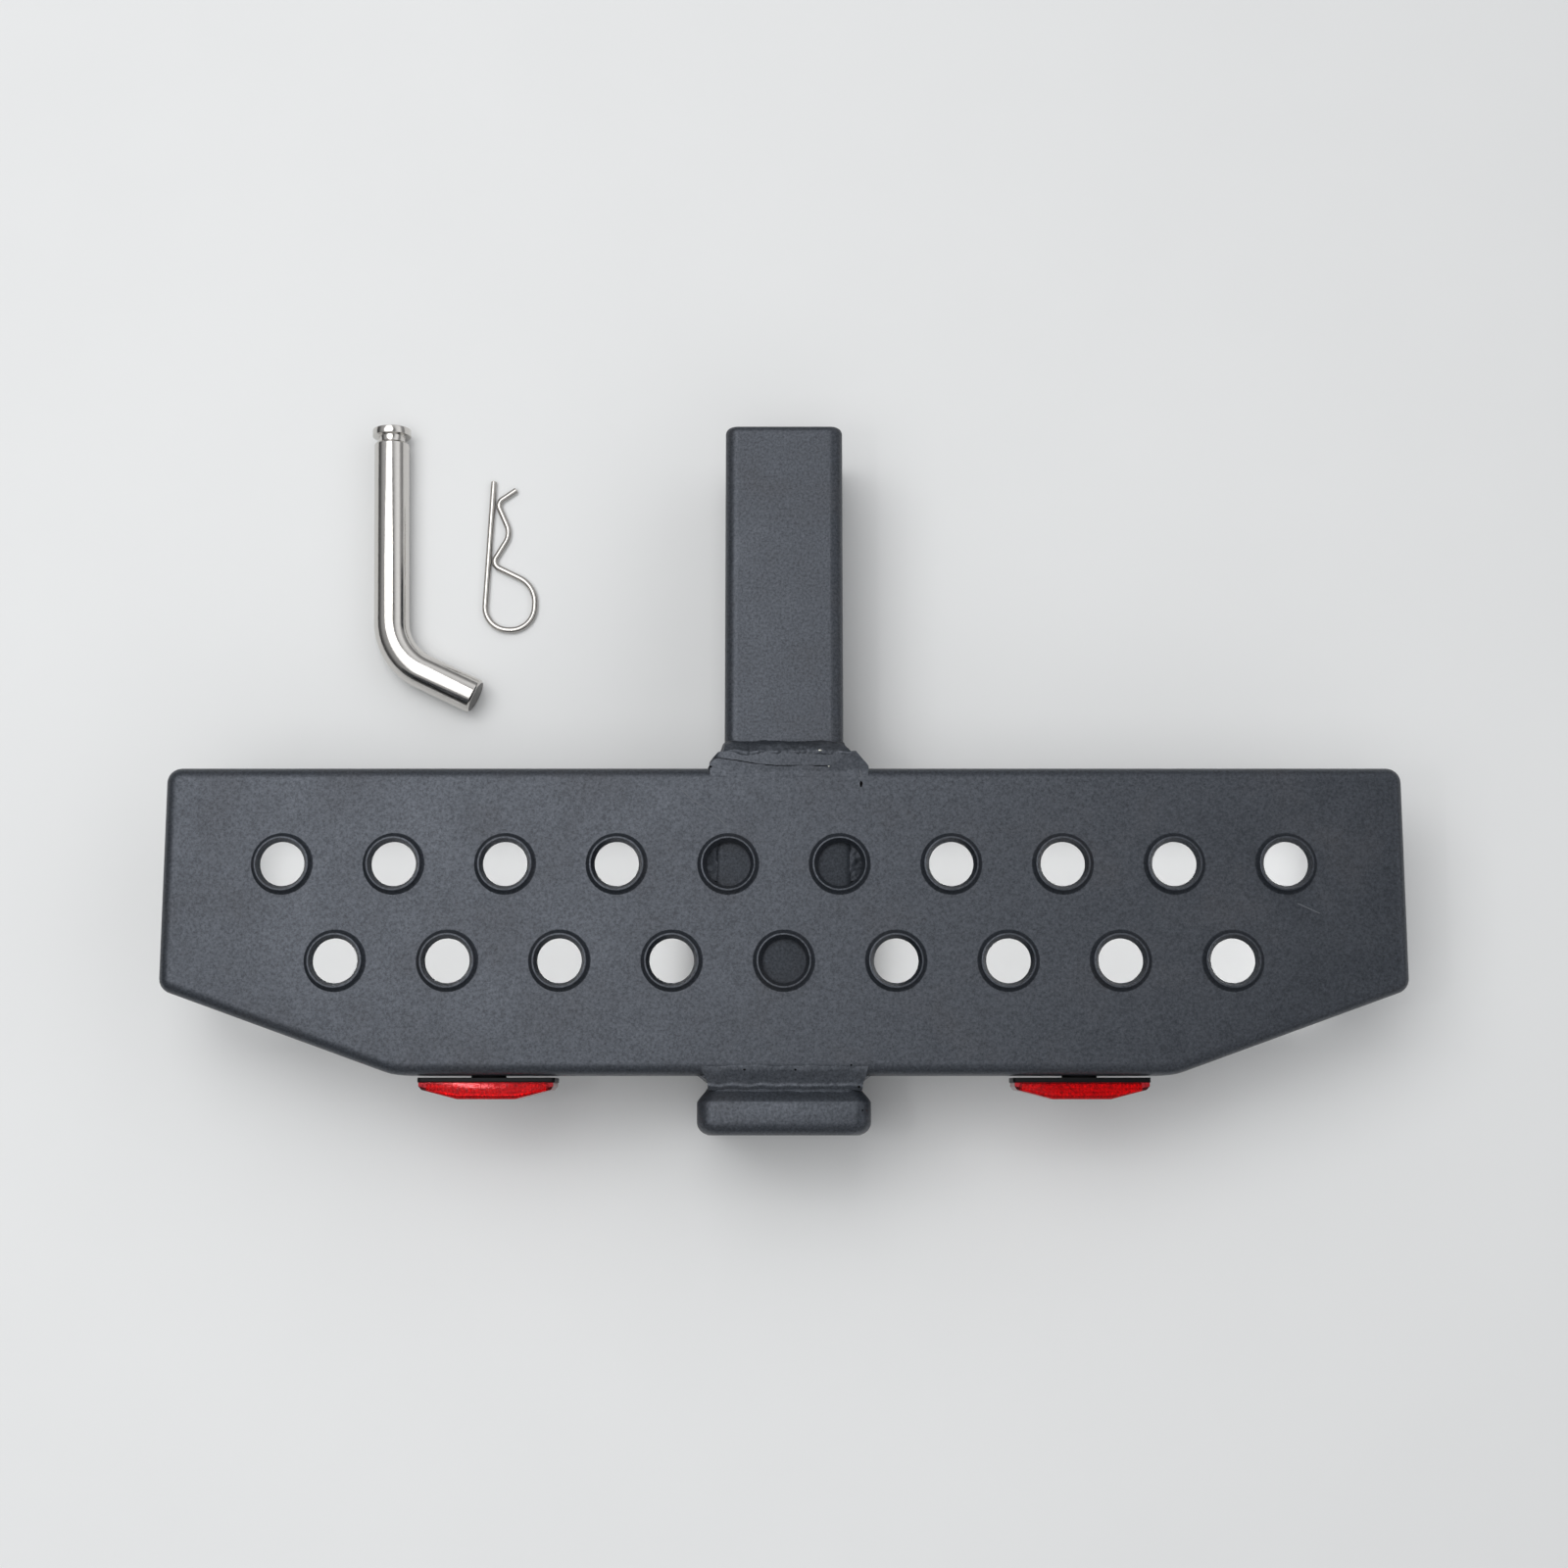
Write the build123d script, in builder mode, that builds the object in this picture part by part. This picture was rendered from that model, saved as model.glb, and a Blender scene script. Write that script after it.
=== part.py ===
"""A hitch step: a square shank and receiver tube that carry a folded tread deck with flared holes."""

from build123d import *
import math
import os

# Driving dimensions, in millimetres. The origin is the centre of the shank's pin hole, +Y runs
# forward to the vehicle, +X to the right when looking forward and +Z up.

# Shank: the square tube that slides into the vehicle's receiver
shank_width = 50.8
shank_wall = 4.8
shank_corner = 5.5
shank_end_round = 3.0
shank_tip = 70.0
shank_reach = 152.0
shank_engaged = 30.0

# Hitch pin and the bores it passes
pin_diameter = 15.875
pin_clearance = 0.25
pin_straight = 108.0
pin_leg = 42.7
pin_bend_radius = 26.0
pin_turn = 63.0
pin_head_radius = 8.7
pin_head_rim = 3.2
pin_head_dome = 1.9
pin_groove_radius = 6.0
pin_groove_length = 3.2
pin_end_chamfer = 0.8

# Receiver tube: welded round the shank in front, open as a socket at the rear
slip_clearance = 0.2
tube_wall = 6.15
tube_corner = 6.5
socket_corner = 3.0
nose_reach = 7.0
nose_bevel = 4.0
neck_length = 6.5
socket_pin_setback = 60.0

# Collar round the socket's mouth
collar_wall = 4.25
collar_length = 18.0
collar_edge = 4.0
mouth_lead_in = 1.0

# Deck: one sheet folded down all round, with flared holes
deck_width = 520.5
deck_depth = 128.5
deck_sheet = 3.0
deck_bend = 5.2
deck_corner_land = 1.0
deck_side_length = 93.0
deck_rear_length = 323.0
deck_rear_corner = 25.0
skirt_height = 25.0

# Flared holes in two rows, the rear row half a pitch aside
hole_radius = 9.25
hole_pitch = 46.6
front_row_count = 10
rear_row_count = 9
front_row_setback = 41.0
row_gap = 40.4
rim_base_radius = 13.0
rim_height = 2.4
rim_crest = 1.5
rim_under_flare = 2.4

# Weld beads
shank_bead_length = 5.5
shank_bead_side = 2.35
shank_bead_top = 5.8
deck_bead = 4.5
deck_bead_top = 1.6
rear_bead_back = 5.0
collar_bead = 3.4
stitch_length = 32.0
stitch_leg = 4.5
taper_slack = 3.0

# Reflectors on the rear skirt
reflector_spacing = 247.0
reflector_width = 56.0
reflector_height = 19.0
lens_centre_depth = 6.9
lens_end_depth = 2.8
lens_facet_width = 24.0
lens_bevel = 1.2
backing_margin = 0.5
backing_thickness = 2.0
backing_corner = 1.5
spacer_radius = 7.3
spacer_thickness = 0.9

# Reflector stud, washer and nut
stud_radius = 2.5
stud_clearance = 0.15
stud_head_radius = 5.0
stud_head_thickness = 1.0
stud_past_nut = 2.0
washer_radius = 5.5
washer_thickness = 1.0
nut_across_flats = 8.0
nut_height = 4.0

# R clip, bent from one wire
clip_wire = 2.8
clip_leg = 69.5
clip_loop_width = 22.6
clip_loop_radius = 10.6

# Where the pin's bend and the clip's loop lie on the ground beside the shank
pin_spot = (-177.6, -21.9)
pin_lean = 1.4
clip_spot = (-137.2, -7.4)
clip_lean = -2.8

# Derived places and sizes
bore_radius = pin_diameter / 2 + pin_clearance
socket_width = shank_width + 2 * slip_clearance
tube_width = socket_width + 2 * tube_wall
collar_width = tube_width + 2 * collar_wall
deck_front = shank_tip - shank_reach
deck_rear = deck_front - deck_depth
deck_under = tube_width / 2
deck_top = deck_under + deck_sheet
skirt_bottom = deck_top - skirt_height
tube_front = deck_front + nose_reach
collar_front = deck_rear - neck_length
tube_mouth = collar_front - collar_length
tube_length = tube_front - tube_mouth
neck_bead = neck_length - collar_bead
socket_pin_y = tube_mouth + socket_pin_setback
ground = -collar_width / 2
reflector_z = (skirt_bottom + deck_top - deck_bend) / 2
spacer_face = deck_rear - spacer_thickness
backing_face = spacer_face - backing_thickness
skirt_inside = deck_rear + deck_sheet
fastener_bore = stud_radius + stud_clearance


def across(y):
    """The plane across the tube at y, whose normal points to the rear."""
    return Plane.XZ.offset(-y)


def save(piece, name):
    """Labels a finished piece and writes it as its own file."""
    piece.part.label = name
    export_step(piece.part, f"parts/{name}.step")


os.makedirs("parts", exist_ok=True)

# Shank tube, open at its front end, with the pin bore through its sides
with BuildPart() as shank_tube:
    with BuildSketch(across(shank_tip)):
        RectangleRounded(shank_width, shank_width, shank_corner)
    extrude(amount=shank_tip - tube_front + shank_engaged)
    fillet(shank_tube.faces().sort_by(Axis.Y)[-1].edges(), shank_end_round)
    with BuildSketch(across(shank_tip)):
        inside = shank_width - 2 * shank_wall
        RectangleRounded(inside, inside, max(shank_corner - shank_wall, 0.7))
    extrude(amount=shank_tip - tube_front + shank_engaged, mode=Mode.SUBTRACT)
    with BuildSketch(Plane.YZ):
        Circle(bore_radius)
    extrude(amount=shank_width, both=True, mode=Mode.SUBTRACT)
save(shank_tube, "shank_tube")

# Receiver tube: its sides are bevelled at the nose, where the shank is welded in
with BuildPart() as receiver_tube:
    with BuildSketch(across(tube_front)):
        RectangleRounded(tube_width, tube_width, tube_corner)
        RectangleRounded(socket_width, socket_width, socket_corner, mode=Mode.SUBTRACT)
    extrude(amount=tube_length)
    with BuildSketch(Plane.XY.offset(-tube_width / 2)):
        for side in (-1, 1):
            with BuildLine():
                edge_x = side * tube_width / 2
                Polyline(
                    (edge_x, tube_front),
                    (edge_x - side * nose_bevel, tube_front),
                    (edge_x, tube_front - nose_bevel),
                    close=True,
                )
            make_face()
    extrude(amount=tube_width, mode=Mode.SUBTRACT)
    with BuildSketch(Plane.YZ):
        with Locations((socket_pin_y, 0)):
            Circle(bore_radius)
    extrude(amount=tube_width, both=True, mode=Mode.SUBTRACT)
    mouth = receiver_tube.faces().sort_by(Axis.Y)[0]
    chamfer(mouth.inner_wires()[0].edges(), mouth_lead_in)
save(receiver_tube, "receiver_tube")

# Collar round the mouth, its outer edges rolled over
with BuildPart() as mouth_collar:
    with BuildSketch(across(collar_front)):
        RectangleRounded(collar_width, collar_width, tube_corner + collar_wall)
        RectangleRounded(tube_width, tube_width, tube_corner, mode=Mode.SUBTRACT)
    extrude(amount=collar_length)
    for end in (mouth_collar.faces().sort_by(Axis.Y)[0], mouth_collar.faces().sort_by(Axis.Y)[-1]):
        fillet(end.outer_wire().edges(), collar_edge)
save(mouth_collar, "mouth_collar")

# One flared rim: the sheet rises to a rolled crest and turns down into the hole
with BuildPart() as flared_rim:
    with BuildSketch(Plane.XZ):
        with BuildLine():
            crest = (hole_radius + rim_crest, rim_height - rim_crest)
            reach = math.dist((rim_base_radius, 0), crest)
            to_crest = math.atan2(crest[1], crest[0] - rim_base_radius)
            flank = to_crest - math.asin(rim_crest / reach)
            flank_length = math.sqrt(reach**2 - rim_crest**2)
            flank_top = (
                rim_base_radius + flank_length * math.cos(flank),
                flank_length * math.sin(flank),
            )
            crest_top = (crest[0], rim_height)
            wall_top = (hole_radius, crest[1])
            wall_bottom = (hole_radius, rim_under_flare - deck_sheet)
            under_edge = (hole_radius + rim_under_flare, -deck_sheet)
            under_middle = (
                under_edge[0] - rim_under_flare * math.sin(math.pi / 4),
                wall_bottom[1] - rim_under_flare * math.sin(math.pi / 4),
            )
            Line((rim_base_radius, -deck_sheet), (rim_base_radius, 0))
            Line((rim_base_radius, 0), flank_top)
            over = crest_top[0] - rim_crest * math.sin(math.pi / 4)
            shoulder = crest[1] + rim_crest * math.sin(math.pi / 4)
            ThreePointArc(flank_top, crest_top, (over, shoulder))
            ThreePointArc(
                (over, shoulder),
                (crest[0] - rim_crest * math.cos(math.pi / 8), crest[1] + rim_crest * math.sin(math.pi / 8)),
                wall_top,
            )
            Line(wall_top, wall_bottom)
            ThreePointArc(wall_bottom, under_middle, under_edge)
            Line(under_edge, (rim_base_radius, -deck_sheet))
        make_face()
    revolve(axis=Axis.Z)

# Deck: folded pan with rounded corners, notched over the tube, with its rows of flared holes
hole_rows = (
    (front_row_count, deck_front - front_row_setback),
    (rear_row_count, deck_front - front_row_setback - row_gap),
)
hole_places = [
    (hole_pitch * (i - (count - 1) / 2), row_y) for count, row_y in hole_rows for i in range(count)
]
with BuildPart() as step_deck:
    with BuildSketch(Plane.XY.offset(deck_top)) as deck_outline:
        with BuildLine():
            side_rear = deck_front - deck_side_length
            Polyline(
                (-deck_width / 2, deck_front),
                (deck_width / 2, deck_front),
                (deck_width / 2, side_rear),
                (deck_rear_length / 2, deck_rear),
                (-deck_rear_length / 2, deck_rear),
                (-deck_width / 2, side_rear),
                close=True,
            )
        make_face()
        rear_corners = deck_outline.vertices().group_by(Axis.Y)[0]
        fillet(rear_corners, deck_rear_corner)
        side_corners = deck_outline.vertices().filter_by(lambda v: abs(v.X) > deck_width / 2 - 1)
        fillet(side_corners, deck_bend + deck_corner_land)
    extrude(amount=-skirt_height)
    fillet(step_deck.faces().sort_by(Axis.Z)[-1].edges(), deck_bend)
    offset(amount=-deck_sheet, openings=step_deck.faces().sort_by(Axis.Z)[0])
    with BuildSketch(Plane.XY.offset(deck_under)):
        with Locations((0, (deck_front + deck_rear) / 2)):
            Rectangle(tube_width, deck_depth + 2 * deck_sheet)
    extrude(amount=-tube_width, mode=Mode.SUBTRACT)
    with BuildSketch(Plane.XY.offset(deck_under)):
        with Locations(*hole_places):
            Circle(rim_base_radius)
    extrude(amount=deck_sheet, mode=Mode.SUBTRACT)
    with Locations(*[(x, y, deck_top) for x, y in hole_places]):
        add(flared_rim.part)
    with BuildSketch(across(skirt_inside)):
        with Locations((-reflector_spacing / 2, reflector_z), (reflector_spacing / 2, reflector_z)):
            Circle(fastener_bore)
    extrude(amount=deck_sheet, mode=Mode.SUBTRACT)
save(step_deck, "step_deck")

# Bead round the shank on the tube's front end
with BuildPart() as shank_weld:
    with BuildSketch(across(tube_front + shank_bead_length)):
        RectangleRounded(shank_width + 0.6, shank_width + 0.6, shank_corner + 0.3)
    with BuildSketch(across(tube_front)):
        RectangleRounded(
            shank_width + 2 * shank_bead_side, shank_width + 2 * shank_bead_top, shank_corner + shank_bead_side
        )
    loft()
    with BuildSketch(across(tube_front)):
        RectangleRounded(shank_width, shank_width, shank_corner)
    extrude(amount=-shank_bead_length, mode=Mode.SUBTRACT)
save(shank_weld, "shank_weld")

# Bead between the tube's sides, its top and the deck's front skirt
with BuildPart() as deck_front_weld:
    with BuildSketch(across(deck_front)):
        RectangleRounded(tube_width + 2 * deck_bead, tube_width + 2 * deck_bead, tube_corner + deck_bead)
    extrude(amount=-deck_bead, taper=45 - taper_slack)
    with BuildSketch(across(deck_front)):
        RectangleRounded(tube_width, tube_width, tube_corner)
    extrude(amount=-deck_bead, mode=Mode.SUBTRACT)
    split(bisect_by=Plane.XY.offset(skirt_bottom), keep=Keep.TOP)
    split(bisect_by=Plane.XY.offset(deck_under + deck_bead_top), keep=Keep.BOTTOM)
save(deck_front_weld, "deck_front_weld")

# Bead between the deck's rear edge, the rear skirt and the tube
with BuildPart() as deck_rear_weld:
    with BuildSketch(across(deck_rear)):
        RectangleRounded(tube_width + 2 * deck_bead, tube_width + 2 * deck_bead, tube_corner + deck_bead)
    extrude(amount=neck_bead, taper=math.degrees(math.atan(deck_bead / neck_bead)) - taper_slack)
    with BuildSketch(Plane.YZ):
        with BuildLine():
            bead_start = deck_rear + rear_bead_back
            Polyline(
                (bead_start, deck_under),
                (bead_start, deck_top),
                (bead_start - rear_bead_back / 2, deck_top),
                (deck_rear - neck_bead, deck_under),
                close=True,
            )
        make_face()
    extrude(amount=tube_width / 2 - tube_corner / 2, both=True)
    with BuildSketch(across(deck_front)):
        RectangleRounded(tube_width, tube_width, tube_corner)
    extrude(amount=tube_length, mode=Mode.SUBTRACT)
    add(step_deck.part, mode=Mode.SUBTRACT)
    split(bisect_by=Plane.XY.offset(skirt_bottom), keep=Keep.TOP)
    split(bisect_by=Plane.XY.offset(deck_top), keep=Keep.BOTTOM)
save(deck_rear_weld, "deck_rear_weld")

# Bead round the tube on the collar's front face
with BuildPart() as collar_weld:
    with BuildSketch(across(collar_front)):
        RectangleRounded(tube_width + 2 * collar_bead, tube_width + 2 * collar_bead, tube_corner + collar_bead)
    extrude(amount=-collar_bead, taper=45 - taper_slack)
    with BuildSketch(across(collar_front)):
        RectangleRounded(tube_width, tube_width, tube_corner)
    extrude(amount=-collar_bead, mode=Mode.SUBTRACT)
save(collar_weld, "collar_weld")

# Stitch beads under the deck, along the tube's upper corners
with BuildPart() as under_deck_weld:
    for stitch_y in (deck_front - deck_depth / 4, deck_rear + deck_depth / 4):
        with BuildSketch(across(stitch_y + stitch_length / 2)):
            for side in (-1, 1):
                with BuildLine():
                    corner_x = side * tube_width / 2
                    Polyline(
                        (corner_x - side * stitch_leg, deck_under),
                        (corner_x + side * stitch_leg, deck_under),
                        (corner_x, deck_under - stitch_leg - tube_corner / 4),
                        close=True,
                    )
                make_face()
        extrude(amount=stitch_length)
    add(receiver_tube.part, mode=Mode.SUBTRACT)
save(under_deck_weld, "under_deck_weld")

# Reflectors: lens, backing, spacer, stud, washer and nut at each side
for side_name, side in (("left", -1), ("right", 1)):
    centre_x = side * reflector_spacing / 2

    with BuildPart() as lens:
        with BuildSketch(Plane.XY.offset(reflector_z - reflector_height / 2)):
            with BuildLine():
                Polyline(
                    (centre_x - reflector_width / 2, backing_face),
                    (centre_x + reflector_width / 2, backing_face),
                    (centre_x + reflector_width / 2, backing_face - lens_end_depth),
                    (centre_x + lens_facet_width / 2, backing_face - lens_centre_depth),
                    (centre_x - lens_facet_width / 2, backing_face - lens_centre_depth),
                    (centre_x - reflector_width / 2, backing_face - lens_end_depth),
                    close=True,
                )
            make_face()
        extrude(amount=reflector_height)
        flat_ends = lens.edges().filter_by(Plane.XY)
        chamfer(flat_ends.filter_by(lambda e: e.center().Y < backing_face - 0.1), lens_bevel)
    save(lens, f"reflector_lens_{side_name}")

    with BuildPart() as backing:
        with BuildSketch(across(spacer_face)):
            with Locations((centre_x, reflector_z)):
                RectangleRounded(
                    reflector_width + 2 * backing_margin, reflector_height + 2 * backing_margin, backing_corner
                )
                Circle(fastener_bore, mode=Mode.SUBTRACT)
        extrude(amount=backing_thickness)
        with BuildSketch(across(backing_face)):
            with Locations((centre_x, reflector_z)):
                Circle(stud_head_radius + stud_clearance)
        extrude(amount=-stud_head_thickness, mode=Mode.SUBTRACT)
    save(backing, f"reflector_backing_{side_name}")

    with BuildPart() as spacer:
        with BuildSketch(across(deck_rear)):
            with Locations((centre_x, reflector_z)):
                Circle(spacer_radius)
                Circle(fastener_bore, mode=Mode.SUBTRACT)
        extrude(amount=spacer_thickness)
    save(spacer, f"reflector_spacer_{side_name}")

    with BuildPart() as stud:
        with BuildSketch(across(backing_face)):
            with Locations((centre_x, reflector_z)):
                Circle(stud_head_radius)
        extrude(amount=-stud_head_thickness)
        stud_front = skirt_inside + washer_thickness + nut_height + stud_past_nut
        with BuildSketch(across(backing_face)):
            with Locations((centre_x, reflector_z)):
                Circle(stud_radius)
        extrude(amount=backing_face - stud_front)
    save(stud, f"reflector_stud_{side_name}")

    with BuildPart() as washer:
        with BuildSketch(across(skirt_inside)):
            with Locations((centre_x, reflector_z)):
                Circle(washer_radius)
                Circle(fastener_bore, mode=Mode.SUBTRACT)
        extrude(amount=-washer_thickness)
    save(washer, f"reflector_washer_{side_name}")

    with BuildPart() as nut:
        with BuildSketch(across(skirt_inside + washer_thickness)):
            with Locations((centre_x, reflector_z)):
                RegularPolygon(nut_across_flats / 2, 6, major_radius=False)
                Circle(stud_radius + stud_clearance / 3, mode=Mode.SUBTRACT)
        extrude(amount=-nut_height)
    save(nut, f"reflector_nut_{side_name}")

# Hitch pin, lying on the ground with its bent leg to the rear
pin_radius = pin_diameter / 2
pin_plane = Plane(
    origin=(*pin_spot, ground + pin_head_radius),
    x_dir=(math.cos(math.radians(pin_lean)), math.sin(math.radians(pin_lean)), 0),
    z_dir=(0, 0, 1),
)
with BuildPart() as hitch_pin:
    shaft_end = pin_straight - pin_head_dome - pin_head_rim - pin_groove_length
    with BuildLine(pin_plane) as pin_path:
        leg_angle = math.radians(pin_turn)
        FilletPolyline(
            (0, shaft_end - pin_end_chamfer),
            (0, 0),
            (pin_leg * math.sin(leg_angle), -pin_leg * math.cos(leg_angle)),
            radius=pin_bend_radius,
        )
    with BuildSketch(Plane(origin=pin_path.line @ 0, z_dir=pin_path.line % 0)):
        Circle(pin_radius)
    sweep()
    bent_end = hitch_pin.faces().filter_by(GeomType.PLANE).sort_by(Axis.Y)[0]
    chamfer(bent_end.edges(), pin_end_chamfer)
    with BuildSketch(pin_plane):
        with BuildLine():
            head_base = shaft_end + pin_groove_length
            Polyline(
                (0, shaft_end - pin_end_chamfer),
                (pin_radius, shaft_end - pin_end_chamfer),
                (pin_radius - pin_end_chamfer, shaft_end),
                (pin_groove_radius, shaft_end),
                (pin_groove_radius, head_base),
                (pin_head_radius, head_base),
                (pin_head_radius, pin_straight - pin_head_dome),
            )
            dome_radius = (pin_head_radius**2 + pin_head_dome**2) / (2 * pin_head_dome)
            half_dome = math.asin(pin_head_radius / dome_radius) / 2
            ThreePointArc(
                (pin_head_radius, pin_straight - pin_head_dome),
                (
                    dome_radius * math.sin(half_dome),
                    pin_straight - dome_radius * (1 - math.cos(half_dome)),
                ),
                (0, pin_straight),
            )
            Line((0, pin_straight), (0, shaft_end - pin_end_chamfer))
        make_face()
    revolve(axis=Axis(pin_plane.origin, pin_plane.y_dir))
save(hitch_pin, "hitch_pin")

# R clip, lying beside the pin: a straight leg, a loop and a waved leg
clip_plane = Plane(
    origin=(*clip_spot, ground + clip_wire / 2),
    x_dir=(math.cos(math.radians(clip_lean)), math.sin(math.radians(clip_lean)), 0),
    z_dir=(0, 0, 1),
)
with BuildPart() as pin_clip:
    with BuildLine(clip_plane) as clip_path:
        pinch = clip_wire + 0.3
        FilletPolyline(
            (0, clip_leg),
            (0, 0),
            (clip_loop_width, 0),
            (clip_loop_width, 19.6),
            (pinch - 1.4, 30.2),
            (pinch + 6.6, 46.5),
            (pinch - 0.9, 59.4),
            (pinch + 7.6, 66.0),
            radius=[clip_loop_radius, clip_loop_radius, 9.0, 3.4, 7.0, 3.6],
        )
    with BuildSketch(Plane(origin=clip_path.line @ 0, z_dir=clip_path.line % 0)):
        Circle(clip_wire / 2)
    sweep()
save(pin_clip, "pin_clip")
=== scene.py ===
"""A hitch step dressed for a studio view from above: powder-coated steel with hand-laid weld beads, red
reflectors on their fasteners, and the plated pin and clip that lie beside it."""

import math

import bpy
from bpy.props import FloatProperty, FloatVectorProperty, IntProperty, PointerProperty
from bpy.types import Operator, Panel, PropertyGroup
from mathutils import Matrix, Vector, noise


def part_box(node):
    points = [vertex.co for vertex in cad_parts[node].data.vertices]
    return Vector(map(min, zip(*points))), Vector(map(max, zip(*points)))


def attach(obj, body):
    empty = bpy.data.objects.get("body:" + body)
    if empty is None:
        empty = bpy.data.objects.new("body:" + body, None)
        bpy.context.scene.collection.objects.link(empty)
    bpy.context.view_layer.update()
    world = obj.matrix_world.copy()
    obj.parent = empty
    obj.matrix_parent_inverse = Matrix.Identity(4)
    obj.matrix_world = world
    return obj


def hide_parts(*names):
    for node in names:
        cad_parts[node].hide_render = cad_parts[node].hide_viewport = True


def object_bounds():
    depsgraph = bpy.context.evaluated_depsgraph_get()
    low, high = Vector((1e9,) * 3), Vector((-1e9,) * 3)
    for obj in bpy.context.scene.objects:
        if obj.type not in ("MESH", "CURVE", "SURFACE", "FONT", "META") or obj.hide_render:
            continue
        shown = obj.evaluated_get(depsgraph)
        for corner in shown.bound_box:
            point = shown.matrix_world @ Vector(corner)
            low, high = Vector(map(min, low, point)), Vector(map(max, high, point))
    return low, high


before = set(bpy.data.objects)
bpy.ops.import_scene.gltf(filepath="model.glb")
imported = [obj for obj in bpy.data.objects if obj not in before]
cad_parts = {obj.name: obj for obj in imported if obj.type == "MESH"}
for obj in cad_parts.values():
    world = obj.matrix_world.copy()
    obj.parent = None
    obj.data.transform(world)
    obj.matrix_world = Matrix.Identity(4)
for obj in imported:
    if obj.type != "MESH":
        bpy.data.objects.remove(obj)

cad_low, cad_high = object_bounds()

bl_info = {
    "name": "Hitch Step",
    "version": (1, 0, 0),
    "blender": (4, 5, 0),
    "location": "3D View > Sidebar > Hitch Step",
    "description": "Dresses the packed model of a hitch step for a studio view",
    "category": "Object",
}

MM = 0.001
SIDES = ("left", "right")
BODY = "root"
NEAR = 0.01 * MM  # Places nearer than this lie on one face
MERGED = 0.002 * MM  # Vertices nearer than this are one
ROUND = 64  # Facets round the small turned pieces

# Places that every piece is worked out from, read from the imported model
tube_low, tube_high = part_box("receiver_tube")
collar_low, collar_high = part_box("mouth_collar")
deck_low, deck_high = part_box("step_deck")
ground = cad_low.z


def linear(code):
    """An sRGB hex colour as linear red, green, blue and full alpha."""
    parts = [int(code[i : i + 2], 16) / 255 for i in (1, 3, 5)]
    return (*[p / 12.92 if p <= 0.04045 else ((p + 0.055) / 1.055) ** 2.4 for p in parts], 1.0)


def mm(label, description, value):
    """A length that the user may change, shown in millimetres and kept in metres."""
    return FloatProperty(
        name=label, description=description, default=value * MM, min=0.0, precision=5, unit="LENGTH"
    )


def colour(label, description, code):
    """A colour that the user may change."""
    return FloatVectorProperty(
        name=label, description=description, default=linear(code), size=4, min=0.0, max=1.0, subtype="COLOR"
    )


def share(label, description, value):
    """A number from 0 to 1 that the user may change."""
    return FloatProperty(
        name=label, description=description, default=value, min=0.0, max=1.0, subtype="FACTOR"
    )


def degrees(label, description, value):
    """An angle that the user may change."""
    return FloatProperty(name=label, description=description, default=math.radians(value), subtype="ANGLE")


def number(label, description, value, unit="NONE"):
    """A plain number that the user may change."""
    return FloatProperty(name=label, description=description, default=value, unit=unit)


def plan_spot(label, description, x, y):
    """A spot on the plan that the user may change."""
    return FloatVectorProperty(
        name=label, description=description, default=(x * MM, y * MM), size=2, precision=5, unit="LENGTH"
    )


class WeldSettings(PropertyGroup):
    """How the weld beads are laid."""

    skin: mm("Skin", "Size of the cells that a bead's skin is built from", 0.45)
    ripple_pitch: mm("Ripple pitch", "From one ripple of a bead to the next", 3.1)
    ripple_depth: mm("Ripple depth", "How deep the valleys between ripples are", 0.2)
    lump_size: mm("Lump size", "Distance over which a bead swells and thins", 7.0)
    lump_depth: mm("Lump depth", "How far a bead swells", 0.75)
    slant: mm("Slant", "How far the nose's left corner is ground back across the tube", 3.3)
    slant_run: mm("Slant run", "How far that corner is ground back along the tube", 6.2)


class DeckSettings(PropertyGroup):
    """The rows of flared holes in the deck."""

    pitch: mm("Pitch", "From one hole to the next", 46.6)
    front_row: mm("Front row", "From the deck's front edge to its front row of holes", 41.0)
    rear_row: mm("Rear row", "From the deck's front edge to its rear row of holes", 81.4)
    rim_height: mm("Rim height", "How far a rim stands up", 2.4)
    packed_crest: mm("Packed crest", "Radius of the rolled crest in the packed model", 1.5)
    crest_middle: mm("Crest middle", "From the hole's middle to that crest's middle", 10.75)


class CollarSettings(PropertyGroup):
    """The band round the tube's mouth."""

    corner: mm("Corner", "Radius of the band's four corners", 7.0)
    rounding: mm("Rounding", "Radius of its rear edge", 5.5)
    shoulder: mm("Shoulder", "Length of the slope at its front", 4.6)
    shoulder_drop: mm("Shoulder drop", "How far that slope falls", 3.5)


class ReflectorSettings(PropertyGroup):
    """The red reflectors and what holds them."""

    facet_width: mm("Centre facet", "Width of the lens's flat centre", 24.0)
    end_depth: mm("End depth", "Depth of the lens at its ends", 2.8)
    front_chamfer: mm("Front chamfer", "Chamfer round the lens's front", 1.2)
    wall: mm("Lens wall", "Clear plastic over the prisms", 1.6)
    prism_pitch: mm("Prism pitch", "From one moulded prism to the next", 1.5)
    prism_height: mm("Prism height", "How far a prism stands up", 0.24)
    thread_pitch: mm("Thread pitch", "Pitch of the stud's thread", 0.8)
    thread_depth: mm("Thread depth", "Depth of the stud's thread", 0.42)
    stud_radius: mm("Stud radius", "Outer radius of the stud's thread", 2.5)
    stud_head_radius: mm("Stud head radius", "Radius of the head sunk in the backing", 5.0)
    stud_head_height: mm("Stud head height", "Height of the head sunk in the backing", 1.0)
    edge: mm("Edge", "Rounding of the plastic's and the washers' edges", 0.25)


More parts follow.
